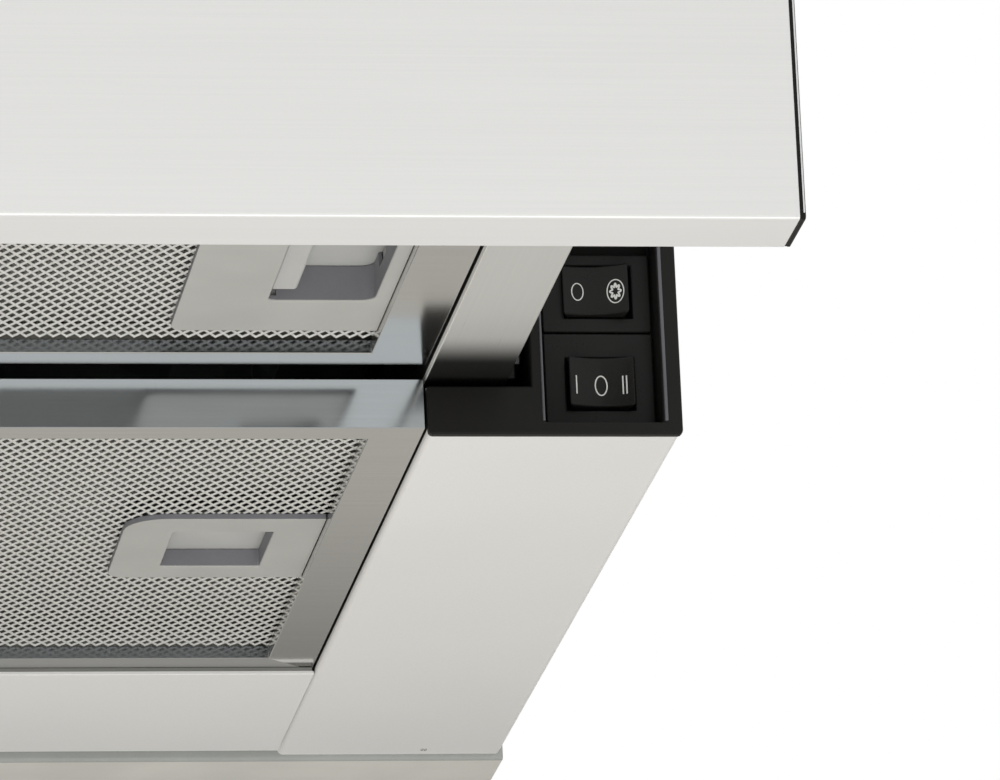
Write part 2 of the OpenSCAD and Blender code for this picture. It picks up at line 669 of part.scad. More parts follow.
module motor_bracket() color(frame_grey) placed() translate([0, wheel_y, wheel_z]) rotate([0, 90, 0]) {
    foot_x = -scroll_half - scroll_t;
    difference() {
        union() {
            translate([0, 0, foot_x - 7]) cylinder(r=motor_r + 3, h=5);
            for (a = [0, 120, 240]) rotate(a) {
                translate([motor_r, -5, foot_x - 7]) cube([25, 10, 2]);
                translate([motor_r + 20, -5, foot_x - 7]) cube([5, 10, 7]);
            }
        }
        translate([0, 0, foot_x - 9]) cylinder(r=motor_r + 0.3, h=12);
    }
}

module capacitor() color([0.85, 0.85, 0.82]) placed()
    translate([110, 70, tray_h + 30]) rotate([0, 90, 0]) cylinder(r=14, h=55);

module terminal_box() color(black) placed() difference() {
    block([140, 70, housing_top], [206, 130, housing_top + 26]);
    block([142, 72, housing_top + 2], [204, 128, housing_top + 27]);
    translate([200, 100, housing_top + 13]) rotate([0, 90, 0]) cylinder(r=6.3, h=10);
}
module terminal_lid() color(black) placed()
    along_x(139.5, 206.5) rounded([69.5, housing_top + 26], [130.5, housing_top + 29], 1);
module cable_gland() color(black) placed() translate([203, 100, housing_top + 13]) rotate([0, 90, 0]) difference() {
    union() {
        cylinder(r=6, h=4);
        translate([0, 0, 3]) cylinder(r=9, h=5, $fn=6);
        translate([0, 0, 8]) cylinder(r=7.4, h=9);
    }
    translate([0, 0, -1]) cylinder(r=3.7, h=22);
}

side_panel_right();
side_panel_left();
rear_panel();
rear_wall();
top_plate();
front_beam();
switch_housing();
end_housing();
light_switch_body();
fan_switch_body();
switch_terminals();
guide_rail_right();
guide_rail_left();
guide_bush_right();
guide_bush_left();
end_bumpers();
filler_strip();
clinch_nuts();
lamp_ring_right();
lamp_ring_left();
lamp_lens_right();
lamp_lens_left();
lamp_module_right();
lamp_module_left();
motor_housing();
housing_screws();
outlet_collar();
flap_pin();
scroll_wall();
inlet_plate_right();
inlet_plate_left();
motor();
motor_bracket();
capacitor();
terminal_box();
terminal_lid();
cable_gland();
rear_filter_frame();
rear_filter_mesh();
rear_latch_plate();
rear_latch_slider();
front_panel();
end_cap_right();
end_cap_left();
cross_bar();
visor_cover();
arm_right();
arm_left();
glide_shoes();
visor_screws();
visor_filter_frame();
visor_filter_mesh();
visor_latch_plate();
visor_latch_slider();
light_rocker();
fan_rocker();
impeller();
motor_shaft();
flap_front();
flap_rear();
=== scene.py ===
"""Looks of a pull-out range hood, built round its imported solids.

Sizes are in hood millimetres: x to the right, y back from the tray's front, z up from the tray's
underside. Form.build turns them into the row frame's metres.
"""

import logging
import math
from dataclasses import dataclass, field
from enum import Enum
from typing import Callable, Sequence

import bmesh
import bpy
import numpy as np
from mathutils import Matrix, Vector
from mathutils.bvhtree import BVHTree


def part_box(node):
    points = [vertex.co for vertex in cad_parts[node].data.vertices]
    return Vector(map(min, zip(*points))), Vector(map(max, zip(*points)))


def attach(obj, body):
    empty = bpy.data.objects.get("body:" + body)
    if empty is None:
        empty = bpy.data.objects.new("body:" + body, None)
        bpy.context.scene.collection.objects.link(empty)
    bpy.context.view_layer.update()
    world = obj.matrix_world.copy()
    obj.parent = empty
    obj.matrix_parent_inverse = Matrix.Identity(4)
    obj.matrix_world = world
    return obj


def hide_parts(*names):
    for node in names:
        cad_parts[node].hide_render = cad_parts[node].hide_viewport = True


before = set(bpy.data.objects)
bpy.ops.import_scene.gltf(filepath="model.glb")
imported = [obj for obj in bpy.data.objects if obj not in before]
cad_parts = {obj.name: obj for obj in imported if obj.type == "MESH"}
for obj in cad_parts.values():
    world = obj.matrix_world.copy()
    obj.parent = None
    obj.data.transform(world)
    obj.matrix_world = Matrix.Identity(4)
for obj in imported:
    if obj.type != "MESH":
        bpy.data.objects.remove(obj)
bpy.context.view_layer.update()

LOG = logging.getLogger("hood")
Array = np.ndarray
Colour = tuple[float, float, float]
Point = tuple[float, float, float]
Flat = Sequence[float]
Radii = float | Sequence[float]
ORIGIN = np.array([0.0, 132.0, 58.0])


class Axis(Enum):
    """A direction of the hood, as the index of its coordinate."""

    X = 0
    Y = 1
    Z = 2


class Side(Enum):
    """Which end of the hood a piece is on; the value is the sign of its x."""

    RIGHT = 1
    LEFT = -1

    @property
    def word(self) -> str:
        """The side as it stands in node names."""
        return self.name.lower()


# ---------------------------------------------------------------- outlines and surfaces


def unit(vectors: Array) -> Array:
    """Each vector divided by its length; a vector of no length stays zero."""
    size = np.linalg.norm(vectors, axis=-1, keepdims=True)
    return np.divide(vectors, size, out=np.zeros_like(vectors), where=size > 1e-12)


def left_of(vectors: Array) -> Array:
    """Each plane vector turned a quarter turn to the left."""
    return np.stack([-vectors[..., 1], vectors[..., 0]], axis=-1)


def rounded(corners: Sequence[Flat], radii: Radii, steps: int = 5) -> Array:
    """An outline whose corners are arcs.

    At each corner the arc's centre lies on the bisector, its radius over the sine of half the
    corner's angle away, and the arc runs between the two points where it touches the sides.

    Args:
        corners: the outline's corners in order, as plane points.
        radii: one radius for all corners or one for each; 0 keeps a corner sharp.
        steps: parts in each arc.

    Returns:
        The outline's points, each corner's arc in turn, without repeated points.
    """
    corner = np.asarray(corners, float)
    radius = np.broadcast_to(np.asarray(radii, float), len(corner))
    back = unit(np.roll(corner, 1, axis=0) - corner)
    ahead = unit(np.roll(corner, -1, axis=0) - corner)
    half = np.arccos(np.clip((back * ahead).sum(1), -1, 1)) / 2
    centre = corner + unit(back + ahead) * (radius / np.sin(half))[:, None]
    reach = (radius / np.tan(half))[:, None]
    first, last = corner + back * reach - centre, corner + ahead * reach - centre
    begin = np.arctan2(first[:, 1], first[:, 0])
    turn = np.arctan2(last[:, 1], last[:, 0]) - begin
    turn = (turn + np.pi) % (2 * np.pi) - np.pi
    angle = begin[:, None] + turn[:, None] * np.linspace(0, 1, steps + 1)
    arc = np.stack([np.cos(angle), np.sin(angle)], axis=-1) * radius[:, None, None]
    points = (centre[:, None] + arc).reshape(-1, 2)
    keep = np.linalg.norm(points - np.roll(points, 1, axis=0), axis=1) > 1e-5
    return points[keep]


def loop(low: Flat, high: Flat, radii: Radii, steps: int = 5) -> Array:
    """A rounded rectangle that always has 4 * (steps + 1) points, so that loops can be joined.

    Each corner's arc is its centre plus the radius times (cos, sin), over a quarter turn.

    Args:
        low: the corner with the least coordinates.
        high: the opposite corner.
        radii: one radius, or one for each corner, anticlockwise from the low corner.
        steps: parts in each arc.

    Returns:
        The points, anticlockwise.
    """
    radius = np.broadcast_to(np.asarray(radii, float), 4)
    corner = np.array([low, (high[0], low[1]), high, (low[0], high[1])], float)
    inward = np.array([(1, 1), (-1, 1), (-1, -1), (1, -1)], float)
    centre = corner + inward * radius[:, None]
    angle = np.pi + np.arange(4)[:, None] * np.pi / 2 + np.linspace(0, np.pi / 2, steps + 1)
    arc = np.stack([np.cos(angle), np.sin(angle)], axis=-1) * radius[:, None, None]
    return (centre[:, None] + arc).reshape(-1, 2)


def moved(path: Array, distance: float, closed: bool) -> Array:
    """A path shifted to its left: each point moves along the sum of its two sides' normals, divided
    by one plus the cosine between them, which keeps both sides at the wanted distance.

    Args:
        path: plane points.
        distance: how far to the left.
        closed: whether the last point joins the first.

    Returns:
        As many points as the path has.
    """
    if closed:
        before, after = path - np.roll(path, 1, axis=0), np.roll(path, -1, axis=0) - path
    else:
        step = np.diff(path, axis=0)
        before, after = np.vstack([step[:1], step]), np.vstack([step, step[-1:]])
    one, two = left_of(unit(before)), left_of(unit(after))
    return path + distance * (one + two) / (1 + (one * two).sum(1, keepdims=True))


def folded(line: Sequence[Sequence[float]], radii: Sequence[float], sheet: float) -> Array:
    """The section of a folded sheet: its middle line with arcs at the bends, shifted half the
    sheet's thickness to each side, one side running forward and the other back.

    Args:
        line: corners of the sheet's middle line.
        radii: radius of each bend on the middle line, 0 at the ends and at added points.
        sheet: thickness.

    Returns:
        A closed outline.
    """
    middle = rounded(line, radii)
    return np.vstack([moved(middle, sheet / 2, False), moved(middle, -sheet / 2, False)[::-1]])


def oval(centre: Flat, size: Flat, steps: int = 40, lobes: int = 0, depth: float = 0.0) -> Array:
    """A closed oval: centre plus half the size times (cos, sin), where the radius may swell by
    depth times the cosine of lobes times the angle.

    Args:
        centre: plane point.
        size: width and height.
        steps: number of points.
        lobes: number of points of a star or gear.
        depth: share of the radius by which they stand out.

    Returns:
        The points, anticlockwise.
    """
    angle = np.linspace(0, 2 * np.pi, steps, endpoint=False)
    swell = 1 + depth * np.cos(lobes * angle)
    ring = np.stack([np.cos(angle), np.sin(angle)], axis=-1) * swell[:, None]
    return np.asarray(centre) + ring * np.asarray(size) / 2


def wall_faces(section: Array, heights: Flat, beyond: float = math.inf) -> tuple[int, int]:
    """The two sides of a section (x, z) that are one wall's faces between two heights.

    Args:
        section: closed outline with points at both heights.
        heights: the lower and the upper one.
        beyond: x from which sides are left out.

    Returns:
        The numbers of the two sides, for a window through the wall.
    """
    z = section[:, 1]
    after = np.roll(z, -1)
    between = (np.minimum(z, after) > heights[0] - 0.01) & (np.maximum(z, after) < heights[1] + 0.01)
    sides = np.flatnonzero(between & (np.abs(z - after) > 1) & (section[:, 0] < beyond))
    return int(sides[0]), int(sides[1])


@dataclass
class Form:
    """The surfaces of one piece while they are worked out, in hood millimetres."""

    points: list[Array] = field(default_factory=list)
    faces: list[Array] = field(default_factory=list)
    tints: list[Array] = field(default_factory=list)
    count: int = 0

    def add(self, points: Array, faces: Array, tint: int = 0) -> None:
        """Adds points (n, 3) and faces (m, corners) that number them, in the finish numbered tint."""
        self.points.append(points.reshape(-1, 3))
        self.faces.append(faces + self.count)
        self.tints.append(np.full(len(faces), tint))
        self.count += len(self.points[-1])

    def grid(
        self,
        rings: Array,
        closed: tuple[bool, bool] = (False, True),
        caps: bool = True,
        windows: Sequence[tuple[int, int, int]] = (),
        tints: Array | int = 0,
    ) -> None:
        """Joins a grid of points by squares: square (i, j) has the corners (i, j), (i+1, j),
        (i+1, j+1) and (i, j+1), where a closed direction starts again at 0.

        Args:
            rings: points (rows, columns, 3).
            closed: whether the rows and the columns close on themselves.
            caps: whether the first and the last ring are filled by one face each.
            windows: (row, column, column on the other side of the wall) of squares that are cut
                out, with the cut's four edges walled.
            tints: the finish of all squares, of each row, or of each square (rows, columns).
        """
        rows, columns = rings.shape[:2]
        index = np.arange(rows * columns).reshape(rows, columns)
        if closed[0]:
            index = np.vstack([index, index[:1]])
        if closed[1]:
            index = np.hstack([index, index[:, :1]])
        quads = np.stack([index[:-1, :-1], index[1:, :-1], index[1:, 1:], index[:-1, 1:]], axis=-1)
        keep = np.ones(quads.shape[:2], bool)
        walls = []
        for row, outer, inner in windows:
            keep[row, outer] = keep[row, inner] = False
            out, back = quads[row, outer], quads[row, inner][[3, 2, 1, 0]]
            walls.append(np.stack([out, np.roll(out, -1), np.roll(back, -1), back], axis=-1))
        self.add(rings, quads[keep])
        table = np.asarray(tints) if np.ndim(tints) == 2 else np.reshape(tints, (-1, 1))
        self.tints[-1] = np.broadcast_to(table, keep.shape)[keep].copy()
        base = self.count - rows * columns
        for wall in walls:
            self.faces.append(wall + base)
            self.tints.append(np.zeros(4, int))
        if caps and not closed[0]:
            for ring, row in ((index[0, :columns], 0), (index[-1, :columns][::-1], -1)):
                self.faces.append(ring[None] + base)
                self.tints.append(table[row, :1].copy())

    def bar(
        self,
        section: Array,
        span: tuple[float, float],
        axis: Axis,
        edge: float = 0.3,
        tint: Callable[[Array], Array] | None = None,
    ) -> None:
        """A straight piece of one section, with its end edges rounded: near an end the section
        shrinks by edge * (1 - sin a) where it is edge * (1 - cos a) from the end.

        Args:
            section: closed outline in the two other coordinates, in their order.
            span: where it starts and ends along the axis.
            axis: its direction.
            edge: radius of the end edges.
            tint: gives each side of the section, by its middle, the number of its finish.
        """
        after = np.roll(section, -1, axis=0)
        area = (section[:, 0] * after[:, 1] - after[:, 0] * section[:, 1]).sum()
        shape = section if area > 0 else section[::-1]
        turn = np.linspace(0, np.pi / 2, 4)
        near = [(edge * (1 - math.sin(a)), edge * (1 - math.cos(a))) for a in turn]
        stops = [(d, span[0] + s) for d, s in near] + [(d, span[1] - s) for d, s in near[::-1]]
        rings = np.stack([np.insert(moved(shape, d, True), axis.value, at, axis=1) for d, at in stops])
        middle = (shape + np.roll(shape, -1, axis=0)) / 2
        self.grid(rings, tints=tint(middle).astype(int)[None] if tint else 0)

    def box(self, low: Point, high: Point, edge: float = 0.3) -> None:
        """A block between two corners with rounded edges."""
        section = loop(low[:2], high[:2], edge, 3)
        self.bar(section, (low[2], high[2]), Axis.Z, edge * 0.8)

    def cells(self, breaks: Sequence[Flat], solid: Array) -> None:
        """The skin of a solid made of box-shaped cells: a face stands wherever a filled cell meets
        an empty one or the outside.

        Args:
            breaks: where the cells begin and end along x, y and z.
            solid: (nx, ny, nz) booleans, True where a cell is filled.
        """
        place = np.stack(np.meshgrid(*[np.asarray(b, float) for b in breaks], indexing="ij"), axis=-1)
        index = np.arange(place[..., 0].size).reshape(place.shape[:3])
        faces = []
        for axis in range(3):
            margin = [(1, 1) if a == axis else (0, 0) for a in range(3)]
            step = np.diff(np.pad(solid.astype(int), margin), axis=axis)
            one, two = ((axis + 1) % 3, (axis + 2) % 3)
            low = np.argwhere(step != 0)
            sign = step[tuple(low.T)]
            shift = np.eye(3, dtype=int)
            corners = [low, low + shift[one], low + shift[one] + shift[two], low + shift[two]]
            quads = np.stack([index[tuple(c.T)] for c in corners], axis=1)
            faces.append(np.where(sign[:, None] < 0, quads, quads[:, ::-1]))
        self.add(place, np.vstack(faces))

    def lathe(
        self,
        profile: Array,
        centre: Point,
        axis: Axis = Axis.Z,
        steps: int = 64,
        swell: Callable[[Array, Array], Array] | None = None,
    ) -> None:
        """A closed profile (radius, height) turned about an axis: each point runs round as
        centre + radius * (cos, sin), and the radius may be changed by a function of angle and height.

        Args:
            profile: closed outline as radius and height.
            centre: point on the axis at height 0.
            axis: direction of the axis.
            steps: parts round the circle.
            swell: factor on the radius for (angle, height).
        """
        angle = np.linspace(0, 2 * np.pi, steps, endpoint=False)[None]
        radius, height = profile[:, :1], np.broadcast_to(profile[:, 1:], (len(profile), steps))
        radius = radius * (swell(angle, height) if swell else 1)
        ring = [radius * np.cos(angle), radius * np.sin(angle)]
        ring.insert(axis.value, height)
        self.grid(np.stack(ring, axis=-1) + np.asarray(centre), closed=(True, True))

    def ribbon(
        self, path: Array, width: float, closed: bool, place: Callable[[Array, float], Array]
    ) -> None:
        """A thin raised line: the path shifted half the width to each side, and both copies put on
        a surface at a height of 0 and a little under it.

        Args:
            path: plane points of the line's middle.
            width: the line's width.
            closed: whether it closes on itself.
            place: puts plane points on the surface, at a depth below it.
        """
        one, two = moved(path, width / 2, closed), moved(path, -width / 2, closed)
        root = 0.14
        sides = [place(one, 0.0), place(two, 0.0), place(two, root), place(one, root)]
        self.grid(np.stack(sides, axis=1), closed=(closed, True))

    def mirrored(self) -> "Form":
        """The same form on the other side of the hood: x changes sign and faces turn round."""
        turned = Form(count=self.count, tints=list(self.tints))
        turned.points = [p * (-1, 1, 1) for p in self.points]
        turned.faces = [f[:, ::-1] for f in self.faces]
        return turned

    def on(self, side: Side) -> "Form":
        """This form, drawn for the right side, on the given side."""
        return self if side is Side.RIGHT else self.mirrored()

    def turned(self, degrees: float, pivot: Sequence[float]) -> "Form":
        """This form turned about an upright axis through the pivot (x, y)."""
        angle = math.radians(degrees)
        cosine, sine = math.cos(angle), math.sin(angle)
        turn = np.array([[cosine, sine, 0], [-sine, cosine, 0], [0, 0, 1]])
        centre = np.array([pivot[0], pivot[1], 0])
        self.points = [(p - centre) @ turn + centre for p in self.points]
        return self

    def build(
        self,
        name: str,
        body: str,
        *finishes: "Finish",
        replaces: Sequence[str] = (),
        edge: float = 0.0,
        merge: bool = True,
        weigh: Callable[[Array, Array], Array] | None = None,
    ) -> bpy.types.Object:
        """Makes the Blender object, in the row frame's metres.

        Args:
            name: the piece's name.
            body: the CAD body it moves with.
            finishes: its finishes, by tint number.
            replaces: CAD nodes that it stands for.
            edge: radius of a bevel on edges sharper than 50 degrees, in millimetres.
            merge: whether doubles are merged and normals worked out again.
            weigh: gives each edge, by its two ends in hood millimetres, its share of the radius;
                without it, every edge sharper than 50 degrees has all of it.

        Returns:
            The object, dressed and riding on its body.
        """
        mesh = bpy.data.meshes.new(name)
        vertices = (np.concatenate(self.points) - ORIGIN) / 1000
        corners = np.concatenate([f.ravel() for f in self.faces])
        sizes = np.concatenate([np.full(len(f), f.shape[1]) for f in self.faces])
        mesh.vertices.add(len(vertices))
        mesh.vertices.foreach_set("co", vertices.astype(np.float32).ravel())
        mesh.loops.add(len(corners))
        mesh.loops.foreach_set("vertex_index", corners.astype(np.int32))
        mesh.polygons.add(len(sizes))
        mesh.polygons.foreach_set("loop_start", (np.cumsum(sizes) - sizes).astype(np.int32))
        mesh.polygons.foreach_set("material_index", np.concatenate(self.tints).astype(np.int32))
        mesh.update(calc_edges=True)
        mesh.validate()
        if merge:
            tidy_mesh(mesh, weigh is not None)
        if weigh:
            weigh_edges(mesh, weigh)
        return finish_piece(mesh, name, body, finishes, replaces, edge)


def tidy_mesh(mesh: bpy.types.Mesh, flatten: bool) -> None:
    """Merges doubles, turns every closed shell's faces outwards, and may join flat neighbours."""
    work = bmesh.new()
    work.from_mesh(mesh)
    bmesh.ops.remove_doubles(work, verts=work.verts, dist=1e-6)
    bmesh.ops.recalc_face_normals(work, faces=work.faces)
    if flatten:
        bmesh.ops.dissolve_limit(work, angle_limit=0.002, verts=work.verts, edges=work.edges)
    work.to_mesh(mesh)
    work.free()


def weigh_edges(mesh: bpy.types.Mesh, weigh: Callable[[Array, Array], Array]) -> None:
    """Writes each edge's bevel weight, worked out from its two ends in hood millimetres."""
    points = np.empty(len(mesh.vertices) * 3)
    mesh.vertices.foreach_get("co", points)
    ends = np.empty(len(mesh.edges) * 2, dtype=np.int32)
    mesh.edges.foreach_get("vertices", ends)
    place = points.reshape(-1, 3)[ends.reshape(-1, 2)] * 1000 + ORIGIN
    layer = mesh.attributes.new("bevel_weight_edge", "FLOAT", "EDGE")
    layer.data.foreach_set("value", np.clip(weigh(place[:, 0], place[:, 1]), 0, 1).astype(np.float32))


def finish_piece(
    mesh: bpy.types.Mesh,
    name: str,
    body: str,
    finishes: Sequence["Finish"],
    replaces: Sequence[str],
    edge: float,
) -> bpy.types.Object:
    """Gives a mesh its finishes, smooth shading with crisp corners, and its body.

    Args:
        mesh: the mesh, in the row frame.
        name: the piece's name.
        body: the CAD body it moves with.
        finishes: its finishes, by material index.
        replaces: CAD nodes that it stands for.
        edge: radius of a bevel on its sharp edges in millimetres, or 0 for none.

    Returns:
        The object.
    """
    piece = bpy.data.objects.new(name, mesh)
    bpy.context.scene.collection.objects.link(piece)
    for finish in finishes:
        mesh.materials.append(finish.material())
    mesh.shade_smooth()
    mesh.set_sharp_from_angle(angle=math.radians(40))
    if edge:
        bevel = piece.modifiers.new("Edges", "BEVEL")
        weighed = "bevel_weight_edge" in mesh.attributes
        bevel.width, bevel.segments = edge / 1000, 3 if weighed else 2
        bevel.limit_method = "WEIGHT" if weighed else "ANGLE"
        bevel.angle_limit, bevel.use_clamp_overlap = math.radians(50), not weighed
    piece.modifiers.new("Normals", "WEIGHTED_NORMAL").keep_sharp = True
    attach(piece, body)
    if replaces:
        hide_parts(*replaces)
    LOG.info("%s: %d faces on %s", name, len(mesh.polygons), body)
    return piece


def softened(
    node: str,
    name: str,
    body: str,
    finish: "Finish",
    bend: float = 0.9,
    rim: float = 0.25,
    reshape: Callable[[Array], Array] | None = None,
) -> bpy.types.Object:
    """Stands for a CAD node by its own mesh with rounded edges.

    The copy is merged and its flat faces joined. An edge's radius is 0.42 times the thinner of the
    two walls that meet there, felt by a ray from the edge's middle through each wall, and lies
    between the rim's and the bend's radius.

    Args:
        node: the CAD node.
        name: the piece's name.
        body: the CAD body it moves with.
        finish: its finish.
        bend: radius where both walls are thick, in millimetres.
        rim: radius on a sheet's own edges.
        reshape: moves the copy's points (n, 3), in hood millimetres, before they are merged.

    Returns:
        The object.
    """
    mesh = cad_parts[node].data.copy()
    mesh.materials.clear()
    for layer in list(mesh.attributes):
        if layer.name.startswith("custom_normal"):
            mesh.attributes.remove(layer)
    if reshape:
        points = np.empty(len(mesh.vertices) * 3)
        mesh.vertices.foreach_get("co", points)
        points = (reshape(points.reshape(-1, 3) * 1000 + ORIGIN) - ORIGIN) / 1000
        mesh.vertices.foreach_set("co", points.ravel())
    work = bmesh.new()
    work.from_mesh(mesh)
    bmesh.ops.remove_doubles(work, verts=work.verts, dist=2e-6)
    bmesh.ops.dissolve_limit(
        work, angle_limit=0.002, verts=work.verts, edges=work.edges, delimit=set()
    )
    work.normal_update()
    tree = BVHTree.FromBMesh(work)
    weight = work.edges.layers.float.new("bevel_weight_edge")
    for edge in work.edges:
        if len(edge.link_faces) != 2 or edge.calc_face_angle(0.0) < 0.6:
            continue
        one, two = (f.normal for f in edge.link_faces)
        middle = (edge.verts[0].co + edge.verts[1].co) / 2 - (one + two) * 1e-4
        depths = [tree.ray_cast(middle, -n)[3] or 0.05 for n in (one, two)]
        radius = min(max(0.42 * min(depths) * 1000, rim), bend, 0.4 * edge.calc_length() * 1000)
        edge[weight] = min(radius / bend, 1.0)
    for face in work.faces:
        face.material_index = 0
    work.to_mesh(mesh)
    work.free()
    piece = finish_piece(mesh, name, body, [finish], [node], 0)
    bevel = piece.modifiers.new("Bends", "BEVEL")
    bevel.width, bevel.segments, bevel.limit_method = bend / 1000, 3, "WEIGHT"
    bevel.use_clamp_overlap = False
    piece.modifiers.move(1, 0)
    return piece


# ---------------------------------------------------------------- shader expressions


@dataclass(frozen=True)
class Signal:
    """A shader output that takes part in Python sums and products, through Math nodes."""

    shader: "Shader"
    socket: bpy.types.NodeSocket

    def _math(self, operation: str, first: "Signal | float", second: "Signal | float") -> "Signal":
        """One Math node on two values."""
        made = self.shader.node("ShaderNodeMath", {"operation": operation}, {0: first, 1: second})
        return Signal(self.shader, made.outputs[0])

    def __add__(self, other: "Signal | float") -> "Signal":
        """The sum."""
        return self._math("ADD", self, other)

    __radd__ = __add__

    def __sub__(self, other: "Signal | float") -> "Signal":
        """The difference."""
        return self._math("SUBTRACT", self, other)

    def __rsub__(self, other: "Signal | float") -> "Signal":
        """The difference from a number, as in 1 - mask."""
        return self._math("SUBTRACT", other, self)

    def __mul__(self, other: "Signal | float") -> "Signal":
        """The product."""
        return self._math("MULTIPLY", self, other)

    __rmul__ = __mul__

    def wave(self) -> "Signal":
        """The sine."""
        return self._math("SINE", self, 0.0)

    def size(self) -> "Signal":
        """The value without its sign."""
        return self._math("ABSOLUTE", self, 0.0)

    def least(self, other: "Signal | float") -> "Signal":
        """The smaller of two values."""
        return self._math("MINIMUM", self, other)

    def between(self, low: float, high: float) -> "Signal":
        """0 below low, 1 above high and a smooth slope between them."""
        limits = {"Value": self, "From Min": low, "From Max": high}
        made = self.shader.node("ShaderNodeMapRange", {"interpolation_type": "SMOOTHSTEP"}, limits)
        return Signal(self.shader, made.outputs["Result"])


class Shader:
    """One node material while it is put together."""

    def __init__(self, name: str, constants: dict[str, object]) -> None:
        """Starts a material whose Principled shader has these constant sockets."""
        self.material = bpy.data.materials.new(name)
        self.material.use_nodes = True
        self.tree = self.material.node_tree
        self.surface = self.tree.nodes["Principled BSDF"]
        for socket, value in constants.items():
            self.surface.inputs[socket].default_value = value

    def node(
        self, kind: str, settings: dict[str, object], inputs: dict[str | int, object]
    ) -> bpy.types.Node:
        """Adds a node.

        Args:
            kind: Blender's type name of the node.
            settings: the node's own properties, set first.
            inputs: a number, colour or Signal for each named or numbered socket.

        Returns:
            The node.
        """
        made = self.tree.nodes.new(kind)
        for key, value in settings.items():
            setattr(made, key, value)
        for key, value in inputs.items():
            self.feed(made.inputs[key], value)
        return made

    def feed(self, socket: bpy.types.NodeSocket, value: object) -> None:
        """Links a Signal to a socket, or sets the socket's own value."""
        if isinstance(value, Signal):
            self.tree.links.new(value.socket, socket)
        else:
            socket.default_value = value

    def place(self, stretch: Point = (1, 1, 1)) -> Signal:
        """Object coordinates in metres, multiplied by one number for each direction."""
        where = self.node("ShaderNodeTexCoord", {}, {}).outputs["Object"]
        inputs = {0: Signal(self, where), 1: tuple(stretch)}
        made = self.node("ShaderNodeVectorMath", {"operation": "MULTIPLY"}, inputs)
        return Signal(self, made.outputs[0])

    def grained(self, grain: Axis, across: float, along: float) -> Signal:
        """Object coordinates multiplied by one number across the grain and another along it."""
        stretch = [across] * 3
        stretch[grain.value] = along
        return self.place(tuple(stretch))

    def parts(self, vector: Signal) -> tuple[Signal, Signal, Signal]:
        """The three coordinates of a vector."""
        made = self.node("ShaderNodeSeparateXYZ", {}, {0: vector})
        return tuple(Signal(self, output) for output in made.outputs)

    def noise(self, where: Signal, scale: float, detail: float = 2.0, rough: float = 0.5) -> Signal:
        """Noise from 0 to 1 at a place, with its number of cycles a unit."""
        inputs = {"Vector": where, "Scale": scale, "Detail": detail, "Roughness": rough}
        made = self.node("ShaderNodeTexNoise", {}, inputs)
        return Signal(self, made.outputs["Fac"])

    def cells(self, where: Signal, scale: float) -> Signal:
        """A random grey from 0 to 1 for each cell of a crystal pattern."""
        made = self.node("ShaderNodeTexVoronoi", {}, {"Vector": where, "Scale": scale})
        split = self.node("ShaderNodeSeparateColor", {}, {0: Signal(self, made.outputs["Color"])})
        return Signal(self, split.outputs[0])

    def mix(self, first: Colour | Signal, second: Colour | Signal, share: Signal | float) -> Signal:
        """A colour between two, by a share from 0 to 1."""
        colours = [c if isinstance(c, Signal) else (*c, 1.0) for c in (first, second)]
        inputs = {"Factor": share, 6: colours[0], 7: colours[1]}
        made = self.node("ShaderNodeMix", {"data_type": "RGBA"}, inputs)
        return Signal(self, made.outputs[2])

    def shades(self, colour: Colour, dark: float, light: float, share: Signal | float) -> Signal:
        """A colour between a darker and a lighter tone of itself, by a share from 0 to 1."""
        return self.mix(tone(colour, dark), tone(colour, light), share)

    def bump(self, height: Signal, depth: float) -> None:
        """Feeds the surface's normal from a height of 0 to 1 that stands for depth metres."""
        made = self.node("ShaderNodeBump", {}, {"Strength": 1.0, "Distance": depth, "Height": height})
        self.feed(self.surface.inputs["Normal"], Signal(self, made.outputs[0]))

    def set(self, **values: object) -> None:
        """Feeds Base_Color, Roughness or Metallic of the surface."""
        for key, value in values.items():
            self.feed(self.surface.inputs[key.replace("_", " ")], value)


def tone(colour: Colour, factor: float) -> Colour:
    """A colour made lighter or darker by a factor."""
    return tuple(min(c * factor, 1.0) for c in colour)


_MADE: dict[str, bpy.types.Material] = {}


@dataclass(frozen=True)
class Finish:
    """A surface finish, and the record's material slot it belongs to."""

    name: str
    slot: str
    colour: Colour
    roughness: float = 0.4

    def material(self) -> bpy.types.Material:
        """The Blender material of this finish, made once."""
        if self.name not in _MADE:
            _MADE[self.name] = self.dress().material
        return _MADE[self.name]

    def dress(self) -> Shader:
        """Puts the material's nodes together; each kind of finish does this its own way."""
        raise NotImplementedError


@dataclass(frozen=True)
class BrushedSteel(Finish):
    """Steel ground along one direction: long fine scratches, with broader soft bands among them."""

    grain: Axis = Axis.X
    metallic: float = 1.0
    depth: float = 6e-6
    contrast: float = 0.06
    painted_shade_band: tuple[float, float] | None = None

    def dress(self) -> Shader:
        """Noise squeezed across the grain gives the scratches, and a coarser one their bands. Between
        the band's first and second y the colour is darkened nearly to black as painted shade."""
        shader = Shader(self.name, {"Metallic": self.metallic})
        fine = shader.noise(shader.grained(self.grain, 2600.0, 14.0), 1.0, 3.0, 0.6)
        bands = shader.noise(shader.grained(self.grain, 120.0, 1.6), 1.0, 2.0)
        cloud = shader.noise(shader.place(), 9.0, 1.0)
        mark = fine * 0.62 + bands * 0.26 + cloud * 0.12
        shade = mark.between(0.3, 0.7)
        colour = shader.shades(self.colour, 1 - self.contrast, 1 + self.contrast, shade)
        # Between the two y values the colour is darkened nearly to black: painted shade.
        if self.painted_shade_band:
            shadow_share = shader.parts(shader.place())[1].between(*self.painted_shade_band)
            colour = shader.mix(colour, tone(self.colour, 0.035), shadow_share)
        shader.set(Base_Color=colour, Roughness=mark * 0.16 + (self.roughness - 0.08))
        shader.bump(fine + bands * 0.4, self.depth)
        return shader


